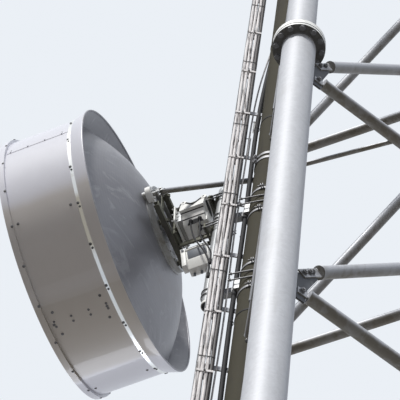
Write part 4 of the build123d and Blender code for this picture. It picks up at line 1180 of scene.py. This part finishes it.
class TOWER_OT_mount(bpy.types.Operator):
    """Channels, arms, saddles, clamp rods and U-bolts of the dish mount"""

    bl_idname = "tower.mount"
    bl_label = "Dish mount"

    def execute(self, context):
        self.frame()
        self.clamps()
        self.standoff_hardware()
        return {"FINISHED"}

    def frame(self):
        """Back frame with rounded channels, ties, spacers, bolts and two arms."""
        high, low = (arm[0] for arm in ARMS)
        front, rear = CHANNEL_DEPTHS
        dark = bmesh.new()
        channel(dark, high, -0.268, 0.268)
        channel(dark, low, -0.44, 0.268)
        block(dark, DISH, (-0.09, 0.09), (low, high), (rear, TIE_REAR), 0.004)
        piece(dark, "back_channels", "channel", merge=0)
        bm = bmesh.new()
        for side in (-0.23, 0.23):
            block(bm, DISH, (side - 0.03, side + 0.03), (-0.38, 0.34), (0.354, front), 0.002)
            for up in (low, high, low + 0.03, high - 0.03):
                bolt(bm, at(DISH, side, up), 0.008, front, rear, 0.006, 10)
        for up in (0.305, -0.305):
            for across in (-0.23, 0.23):
                spot = at(DISH, across, up)
                rod(bm, spot, 0.026, 0.33, 0.354, 24, None, 0.002)
                rod(bm, spot, 0.0175, front, front + 0.012, 6, None, 0.002)
        for across in (-0.07, 0.07):
            for up in (-0.3, -0.2, -0.06, 0.08, 0.18):
                bolt(bm, at(DISH, across, up), 0.007, rear, TIE_REAR, 0.006, 10)
        block(bm, DISH, (-0.075, 0.135), (0.211, 0.229), (rear, 0.80), 0.004)
        for start in (0.04, 0.117):
            block(bm, DISH, (start, start + 0.018), (-0.375, -0.305), (rear, 0.757), 0.004)
        for up, arm, saddle, _strap in ARMS:
            block(bm, DISH, ARM_SPAN, (up - 0.045, up + 0.045), (arm - ARM_THICK, arm), 0.004)
            spot = at(PIPE, z=pipe_level(up, saddle))
            shell(bm, spot, DISH_FRONT, PIPE_RADIUS + 0.0006, 0.022, 0.05, 2.2)
        piece(bm, "back_frame", "channel", ["mount_frame"], merge=0)

    def clamps(self):
        """Straps behind the pipe and the threaded rods that pull them to the arms."""
        bm = bmesh.new()
        for up, arm, _saddle, strap in ARMS:
            end = strap + STRAP_THICK
            block(bm, DISH, ARM_SPAN, (up - 0.04, up + 0.04), (strap, end), 0.004)
            for across in (-0.052, 0.112):
                for rise in (-0.026, 0.026):
                    bolt(bm, at(DISH, across, up + rise), 0.0075, arm - ARM_THICK, end, 0.035, 12)
        piece(bm, "clamp_rods", "bolt", merge=0)

    def standoff_hardware(self):
        """U-bolts of the standoffs on leg C and on the pipe, and the strut's collar."""
        bm = bmesh.new()
        away = facing(PIPE, 1, 0, 0)
        for level in STANDOFF_LEVELS:
            for rise in (-0.055, 0.055):
                u_bolt(bm, at(LEG_C, z=level + rise), away, 0.158, 0.0075, 0.215)
                spot = at(PIPE, z=level + rise * 0.7)
                u_bolt(bm, spot, -away, PIPE_RADIUS + 0.0085, 0.0065, 0.118)
            for rise in (-0.2, 0.21):
                collar(bm, at(LEG_C, z=level + rise), away, 0.15, 0.007, 0.016)
        strut_end = at(LEG_C, z=DISH_LEVEL + 0.8)
        for rise in (-0.045, 0.045):
            collar(bm, at(strut_end, z=rise), facing(LEG_C, 0.4, -0.9, 0), 0.15, 0.007, 0.02)
        piece(bm, "standoff_bolts", "bolt", merge=0)
        cap = bmesh.new()
        mouth = at(PIPE, z=PIPE_ENDS[0])
        turned(cap, mouth, [
            (0.0512, -0.002), (0.0585, -0.002), (0.0585, 0.03), (0.0572, 0.031), (0.0572, 0.0),
        ], 48)
        piece(cap, "pipe_band", "radio")
        dark = bmesh.new()
        rod(dark, mouth, 0.0505, 0.012, 0.016, 40)
        rod(dark, at(PIPE, z=PIPE_ENDS[1]), 0.0575, -0.004, 0.006, 40, None, 0.003)
        piece(dark, "pipe_plugs", "rubber", merge=0)


class TOWER_OT_radio(bpy.types.Operator):
    """Radio unit behind the dish and the second box on the pipe, as castings"""

    bl_idname = "tower.radio"
    bl_label = "Radio castings"

    def execute(self, context):
        self.castings()
        self.dark_parts()
        self.second_box()
        return {"FINISHED"}

    def castings(self):
        """White castings: flange, tilted barrel, notched top, lugs and the round rear flange."""
        bm = bmesh.new()
        block(bm, DISH, (-0.168, 0.168), (-0.235, 0.06), (0.445, 0.462), 0.006)
        tilted = [BARREL_EDGE, (-0.062, -0.23), (0.1, -0.23), (0.16, -0.17), (0.16, 0.08), (0, 0.08)]
        plate(bm, DISH, tilted, *BARREL_DEPTHS, 0.01)
        plate(bm, at(DISH, -0.14) @ TURN_SIDE, [
            (0.5, -0.08), (0.745, -0.08), (0.76, 0.04), (0.735, 0.045),
            (0.64, -0.04), (0.56, 0.045), (0.52, 0.05),
        ], 0, 0.028)
        for up, back in ((0.062, 0.545), (0.05, 0.748)):
            lug = swung(at(DISH, -0.135, up, back), -90, "Y")
            turned(bm, lug, [(0.011, 0), (0.026, 0), (0.03, 0.004), (0.03, 0.036), (0.011, 0.04)], 32)
        turned(bm, at(DISH, *DISC_AT), [
            (0, 0.69), (0.11, 0.69), (0.116, 0.696), (0.116, 0.748), (0.11, 0.754),
            (0.1, 0.754), (0.096, 0.745), (0, 0.745),
        ], 64)
        block(bm, DISH, (-0.07, 0.12), (-0.235, -0.05), (0.732, 0.748), 0.006)
        piece(bm, "radio_castings", "casting", ["radio_unit"], merge=0)
        neck = bmesh.new()
        block(neck, DISH, (-0.12, 0.12), (-0.19, 0.03), (0.457, 0.51), 0.012, 3)
        for side in (-0.145, 0.145):
            for up in (-0.2, -0.065, 0.05):
                bolt(neck, at(DISH, side, up), 0.006, TIE_REAR, 0.462, 0.012, 10)
        piece(neck, "radio_neck", "mount", merge=0)

    def dark_parts(self):
        """Seals in the grooves, the notched rim, a dark arch that paints a shadow, the recess and the
        connectors.
        """
        bm = bmesh.new()
        notched = [
            (0.505, 0.03), (0.525, 0.075), (0.56, 0.07), (0.64, -0.018), (0.735, 0.06), (0.765, 0.068),
        ]
        lower = [(back, up - 0.026) for back, up in reversed(notched)]
        plate(bm, at(DISH, -0.145) @ TURN_SIDE, notched + lower, 0, 0.027)
        rear = facing(DISH, 0, 0, 1)
        side = axes(put(DISH, *BARREL_EDGE, BARREL_DEPTHS[0]), rear, facing(DISH, *BARREL_SIDE))
        for low in (-0.07, -0.15):
            block(bm, side, (-0.001, 0.231), (low, low + 0.012), (-0.004, 0.0012), 0)
        # Painted shadow: a dark half-round plate on the barrel's side stands in for the arch of shadow
        # seen under the radio.
        turns = [math.pi * n / 24 for n in range(25)]
        arch = [(0.125 + 0.08 * math.cos(turn), -0.222 + 0.05 * math.sin(turn)) for turn in turns]
        plate(bm, side, arch, -0.004, 0.0015)
        rod(bm, at(DISH, *DISC_AT), 0.095, 0.742, 0.7462, 48)
        for across, back in ((0.09, 0.613), (0.02, 0.7), (0.08, 0.70), (-0.02, 0.66)):
            spot = swung(at(DISH, across, -0.232, back), 90, "X")
            rod(bm, spot, 0.022, 0, 0.02, 6, None, 0.002)
            rod(bm, spot, 0.016, 0.02, 0.075, 20, None, 0.002)
        piece(bm, "radio_seals_and_painted_shadow", "rubber", merge=0)

    def second_box(self):
        """Box on the pipe: thick end plate with its hole, slate side, white slope and lid."""
        bm = bmesh.new()
        plate(bm, DISH, [
            BOX_EDGE, (-0.018, -0.857), (0.022, -0.957), (0.1, -0.955), (0.12, -0.93), (0.12, -0.735),
        ], 0.53, 0.745, 0.004)
        block(bm, DISH, (-0.07, 0.125), (-0.738, -0.718), (0.52, 0.75), 0.006)
        ends = [(-0.085, -0.715), (-0.045, -0.86), (-0.03, -0.955), (0.05, -0.965), (0.05, -0.715)]
        plate(bm, DISH, ends, 0.485, 0.532, 0.008)
        piece(bm, "second_box", "casting", ["radio_box"], merge=0)
        panel = bmesh.new()
        rear, out = facing(DISH, 0, 0, 1), facing(DISH, *BOX_SIDE)
        side = axes(put(DISH, *BOX_EDGE, 0.545), rear, out)
        block(panel, side, (0.0, 0.19), (-0.122, -0.012), (-0.002, 0.0025), 0.0012)
        rod(panel, axes(put(DISH, -0.078, -0.745, 0.509), rear, out), 0.014, 0, 0.006, 20)
        for back in (0.57, 0.64, 0.69):
            rod(panel, swung(at(DISH, 0.08, -0.96, back), 90, "X"), 0.013, 0, 0.03, 16, None, 0.002)
        piece(panel, "second_box_panel", "slate", merge=0)


def round_leg(points):
    """Runs beside leg C, drawn round to its far side above the tags."""
    line = []
    for u, v, level in points:
        share = min(1, max(0, (level - ROUND_FROM) / ROUND_OVER))
        share = share * share * (3 - 2 * share)
        reach = math.hypot(u, v) * (1 - share) + ROUND_REACH * share
        turn = math.atan2(v, u) - ROUND_TURN * share
        line.append((reach * math.cos(turn), reach * math.sin(turn), level))
    return line


def leg_run(bm, route, radius, sides):
    """Cable strapped to leg C along points in the leg's frame."""
    swept(bm, [put(LEG_C, *point) for point in round_leg(route)], radius, sides)


def smooth_run(points, steps=8):
    """Soft line through points."""
    line = []
    padded = points[:1] + points + points[-1:]
    for a, b, c, d in zip(padded, padded[1:], padded[2:], padded[3:]):
        for n in range(steps):
            t = n / steps
            line.append(0.5 * (2 * b + (c - a) * t + (2 * a - 5 * b + 4 * c - d) * t * t
                               + (3 * b - a - 3 * c + d) * t * t * t))
    return line + points[-1:]


# Ends of thin leads that stand off leg C below the tags
LEAD_TAILS = (
    ((0.2, -0.06, 17.35), (0.17, -0.1, 17.5), (0.19, -0.09, 17.7), (0.165, -0.12, 17.85),
     (0.175, -0.1, 18.1)),
    ((0.19, -0.09, 17.3), (0.165, -0.12, 17.42), (0.18, -0.12, 17.6), (0.158, -0.135, 17.75)),
)


class TOWER_OT_leg_cables(bpy.types.Operator):
    """Cables strapped to the ladder's leg, thin leads, blank tags, ties and hanger nuts"""

    bl_idname = "tower.leg_cables"
    bl_label = "Cables on leg C"

    def execute(self, context):
        black, pale, tags = (bmesh.new() for _n in range(3))
        low, high = RUN_ENDS
        levels = [low + (high - low) * n / RUN_STEPS for n in range(RUN_STEPS + 1)]
        # The thick black cable runs where leg C's left side shows dark: partly a cable, and partly
        # painted shade of that side.
        leg_run(black, [(0.181 + 0.004 * math.sin(w * 1.7), -0.028, w) for w in levels], 0.023, 14)
        leg_run(black, [(0.176, -0.075 + 0.004 * math.sin(w * 2.3), w) for w in levels], 0.012, 10)
        for n in range(12):
            level = STRAP_START + STRAP_PITCH * n
            turned(black, at(LEG_C, z=level), hoop(0.1497, 0.1535, STRAP_HALF), 48)
            hump = at(LEG_C, *round_leg([(0.181, -0.03, level)])[0])
            turned(black, hump, hoop(0.024, 0.0275, STRAP_HALF), 24)
        piece(black, "leg_cable_black", "rubber", merge=0)
        leg_run(pale, [
            (0.249 + 0.006 * math.sin(w * 1.9), -0.012 + 0.006 * math.sin(w * 3.1), w) for w in levels
        ], 0.0085, 10)
        for tail in LEAD_TAILS:
            swept(pale, smooth_run([put(LEG_C, *point) for point in tail]), 0.005, 8)
        piece(pale, "leg_leads_pale", "cable", merge=0)
        for u, v, low, high in ((0.236, -0.044, 18.9, 19.3), (0.206, -0.044, 19.42, 19.68)):
            block(tags, LEG_C, (u - 0.014, u + 0.014), (v - 0.0015, v + 0.0015), (low, high), 0.001)
            block(tags, LEG_C, (u - 0.003, u + 0.04), (v, v + 0.006), (high - 0.03, high - 0.02), 0.001)
        piece(tags, "blank_tags", "radio", merge=0)
        self.ties()
        self.nuts()
        return {"FINISHED"}

    def ties(self):
        """Ties round the feeders between hangers."""
        bm = bmesh.new()
        low_u, high_u = CABLE_MIDDLE - TIE_REACH, CABLE_MIDDLE + TIE_REACH
        foot, top, side = -0.0035, 0.0735, 0.0022
        for n in range(0, 46, 3):
            middle = FIRST_RUNG + RUNG_PITCH * (n + 0.46)
            lean = 0.004 * math.sin(n * 2.4)
            level = (middle - 0.006 + lean, middle + 0.006 + lean)
            for across, out in (
                ((low_u - side, high_u + side), (top, top + side)),
                ((low_u - side, high_u + side), (foot - side, foot)),
                ((low_u - side, low_u), (foot, top)),
                ((high_u, high_u + side), (foot, top)),
            ):
                block(bm, LEG_C, across, out, level, 0.0008, 1)
        piece(bm, "feeder_ties", "rubber", merge=0)

    def nuts(self):
        """Washers, nuts and thread ends on the hangers' stems."""
        bm = bmesh.new()
        for n in range(24):
            middle = FIRST_RUNG + 2 * RUNG_PITCH * n
            if middle > LADDER_TOP - 0.05:
                break
            spot = swung(at(LEG_C, CABLE_MIDDLE, 0, middle), -90, "X")
            rod(bm, spot, 0.012, 0.078, 0.081, 14)
            rod(bm, spot, 0.0095, 0.081, 0.09, 6, None, 0.001)
            rod(bm, spot, 0.004, 0.06, 0.104, 8)
        piece(bm, "hanger_nuts", "bolt", merge=0)


def screw_heads(bm, radius, angles, back, size):
    """Pan heads with washers on the dish's cylinder, at angles in degrees."""
    for angle in angles:
        place = swung(at(swung(DISH, angle), radius, 0, back), 90, "Y")
        rod(bm, place, size * 1.35, -0.001, 0.0015, 14)
        rod(bm, place, size, 0.0015, 0.0075, 14, size * 0.7, 0.001)


class TOWER_OT_dish_trim(bpy.types.Operator):
    """Screws, seams and clips on the dish"""

    bl_idname = "tower.dish_trim"
    bl_label = "Dish trim"

    def execute(self, context):
        size = context.scene.tower_sizes.band_screw
        screws = bmesh.new()
        band = [171.6 + 360 / BAND_SCREWS * n for n in range(BAND_SCREWS)]
        screw_heads(screws, BAND_RADIUS, band, -0.797, size)
        strip = [-173.2 + 360 / STRIP_SCREWS * n for n in range(STRIP_SCREWS)]
        screw_heads(screws, SHROUD_RADIUS + 0.006, strip, -0.154, size)
        screw_heads(screws, SHROUD_RADIUS + 0.006, [turn + 1.7 for turn in strip], -0.147, size * 0.8)
        for n in range(8):
            for back in (-0.745, -0.225):
                screw_heads(screws, SHROUD_RADIUS, [-47.7 + 45 * n], back, size)
        for back in (-0.733, -0.565, -0.395, -0.223):
            screw_heads(screws, SHROUD_RADIUS, (-94, -91.6), back, size * 0.85)
        for back in (-0.712, -0.246):
            screw_heads(screws, SHROUD_RADIUS, (-98.1, -87.6), back, size)
        piece(screws, "dish_screws", "bolt", merge=0)
        seams = bmesh.new()
        for angle in (178.5, -1.5):
            place = at(swung(DISH, angle), SHROUD_RADIUS)
            block(seams, place, (-0.001, 0.0035), (-0.022, 0.022), (-0.785, -0.166), 0.0012, 1)
            for back in SHROUD_LINES:
                block(seams, place, (0.002, 0.013), (-0.008, 0.02), (back - 0.006, back + 0.006), 0.002)
        piece(seams, "shroud_seams", "paint", merge=0)
        return {"FINISHED"}


class TOWER_OT_stage(bpy.types.Operator):
    """Pale floor and sky, soft light and the camera at the photograph's view"""

    bl_idname = "tower.stage"
    bl_label = "Stage"

    def execute(self, context):
        settings = context.scene.tower_stage
        self.floor(settings)
        self.sky(context.scene, settings)
        self.lamps(settings)
        self.camera(context.scene, settings)
        context.scene.view_settings.view_transform = "Standard"
        return {"FINISHED"}

    def floor(self, settings):
        """Round pale floor under the feet."""
        bm = bmesh.new()
        place = Matrix.Translation((MIDDLE.x, MIDDLE.y, -0.002))
        radius = settings.floor_radius
        bmesh.ops.create_circle(bm, cap_ends=True, segments=160, radius=radius, matrix=place)
        mesh = bpy.data.meshes.new("stage_floor")
        bm.to_mesh(mesh)
        bm.free()
        made = bpy.data.objects.new("stage_floor", mesh)
        bpy.context.scene.collection.objects.link(made)
        material, sh = new_finish("stage_floor")
        grain = sh.noise(sh.place(), 1.2, 3, 0.5)
        sh.surface(sh.tint(settings.backdrop, 0.93 + grain * 0.05), 0.85)
        mesh.materials.append(material)

    def sky(self, scene, settings):
        """Pale sky for the camera and for reflections, softer above than below for light."""
        world = bpy.data.worlds.new("stage_sky")
        scene.world = world
        world.use_nodes = True
        sh = Shader(world.node_tree)
        rays = sh.node("ShaderNodeLightPath", out="Is Camera Ray")
        outputs = rays.socket.node.outputs
        glossy = Wire(sh, outputs["Is Glossy Ray"])
        clear = Wire(sh, outputs["Is Transmission Ray"])
        direction = sh.node("ShaderNodeTexCoord", out="Generated")
        height = sh.parts(direction)[2]
        light = sh.mix(sh.band(height, -0.5, 0.6), (0.20, 0.17, 0.14), (0.40, 0.46, 0.56))
        seen = sh.math("MINIMUM", rays + glossy + clear, 1.0)
        colour = sh.mix(seen, light, settings.backdrop)
        shade = sh.node("ShaderNodeBackground", None, {"Color": colour, "Strength": 1.0})
        sh.node("ShaderNodeOutputWorld", None, {"Surface": shade})

    def lamps(self, settings):
        """Broad key from the upper left and a weak one from behind the dish."""
        for name, towards, strength, angle, colour in (
            ("key_lamp", (-0.64, -0.37, 0.67), settings.sun, 9, (1, 0.985, 0.96)),
            ("back_lamp", (0.62, 0.72, -0.22), settings.sun * 0.3, 25, (0.86, 0.9, 1)),
        ):
            data = bpy.data.lights.new(name, "SUN")
            data.energy = strength
            data.angle = math.radians(angle)
            data.color = colour
            made = bpy.data.objects.new(name, data)
            made.matrix_world = axes(Vector((0, 0, 30)), Vector((0.1, 0.2, 0.9)), Vector(towards))
            bpy.context.scene.collection.objects.link(made)

    def camera(self, scene, settings):
        """Camera below the tower's foot level, looking up at the dish."""
        data = bpy.data.cameras.new("photo_camera")
        data.sensor_width = 36
        data.lens = settings.lens
        data.clip_start = 0.5
        data.clip_end = 200
        made = bpy.data.objects.new("photo_camera", data)
        right = Vector((0.78870, -0.61204, 0.05787))
        forward = Vector((0.23568, 0.38796, 0.89103))
        made.matrix_world = axes(Vector((-4.0571, -6.0151, -2.5900)), right, -forward)
        scene.collection.objects.link(made)
        scene.camera = made


class TOWER_PT_panel(bpy.types.Panel):
    """Operators and settings of the tower"""

    bl_idname = "TOWER_PT_panel"
    bl_label = "Cell Tower"
    bl_space_type = "VIEW_3D"
    bl_region_type = "UI"
    bl_category = "Tower"

    def draw(self, context):
        layout = self.layout
        for operator in OPERATORS:
            layout.operator(operator.bl_idname)
        for group in ("tower_looks", "tower_sizes", "tower_stage"):
            held = getattr(context.scene, group)
            column = layout.column(align=True)
            for name in held.__annotations__:
                column.prop(held, name)


OPERATORS = (
    TOWER_OT_structure,
    TOWER_OT_jumpers,
    TOWER_OT_leg_joints,
    TOWER_OT_brace_joints,
    TOWER_OT_feeders,
    TOWER_OT_leg_cables,
    TOWER_OT_dish,
    TOWER_OT_dish_trim,
    TOWER_OT_mount,
    TOWER_OT_radio,
    TOWER_OT_stage,
)
GROUPS = {"tower_looks": TowerLooks, "tower_sizes": TowerSizes, "tower_stage": TowerStage}


def register():
    """Registers the classes and hangs the settings on the scene."""
    for group in GROUPS.values():
        bpy.utils.register_class(group)
    for operator in OPERATORS:
        bpy.utils.register_class(operator)
    bpy.utils.register_class(TOWER_PT_panel)
    for name, group in GROUPS.items():
        setattr(bpy.types.Scene, name, bpy.props.PointerProperty(type=group))


def unregister():
    """Takes the settings and the classes away again."""
    for name in GROUPS:
        delattr(bpy.types.Scene, name)
    bpy.utils.unregister_class(TOWER_PT_panel)
    for operator in reversed(OPERATORS):
        bpy.utils.unregister_class(operator)
    for group in reversed(GROUPS.values()):
        bpy.utils.unregister_class(group)


def main():
    """Builds the whole scene."""
    register()
    bpy.ops.tower.structure()
    bpy.ops.tower.jumpers()
    bpy.ops.tower.leg_joints()
    bpy.ops.tower.brace_joints()
    bpy.ops.tower.feeders()
    bpy.ops.tower.leg_cables()
    bpy.ops.tower.dish()
    bpy.ops.tower.dish_trim()
    bpy.ops.tower.mount()
    bpy.ops.tower.radio()
    bpy.ops.tower.stage()


if __name__ == "__main__":
    main()
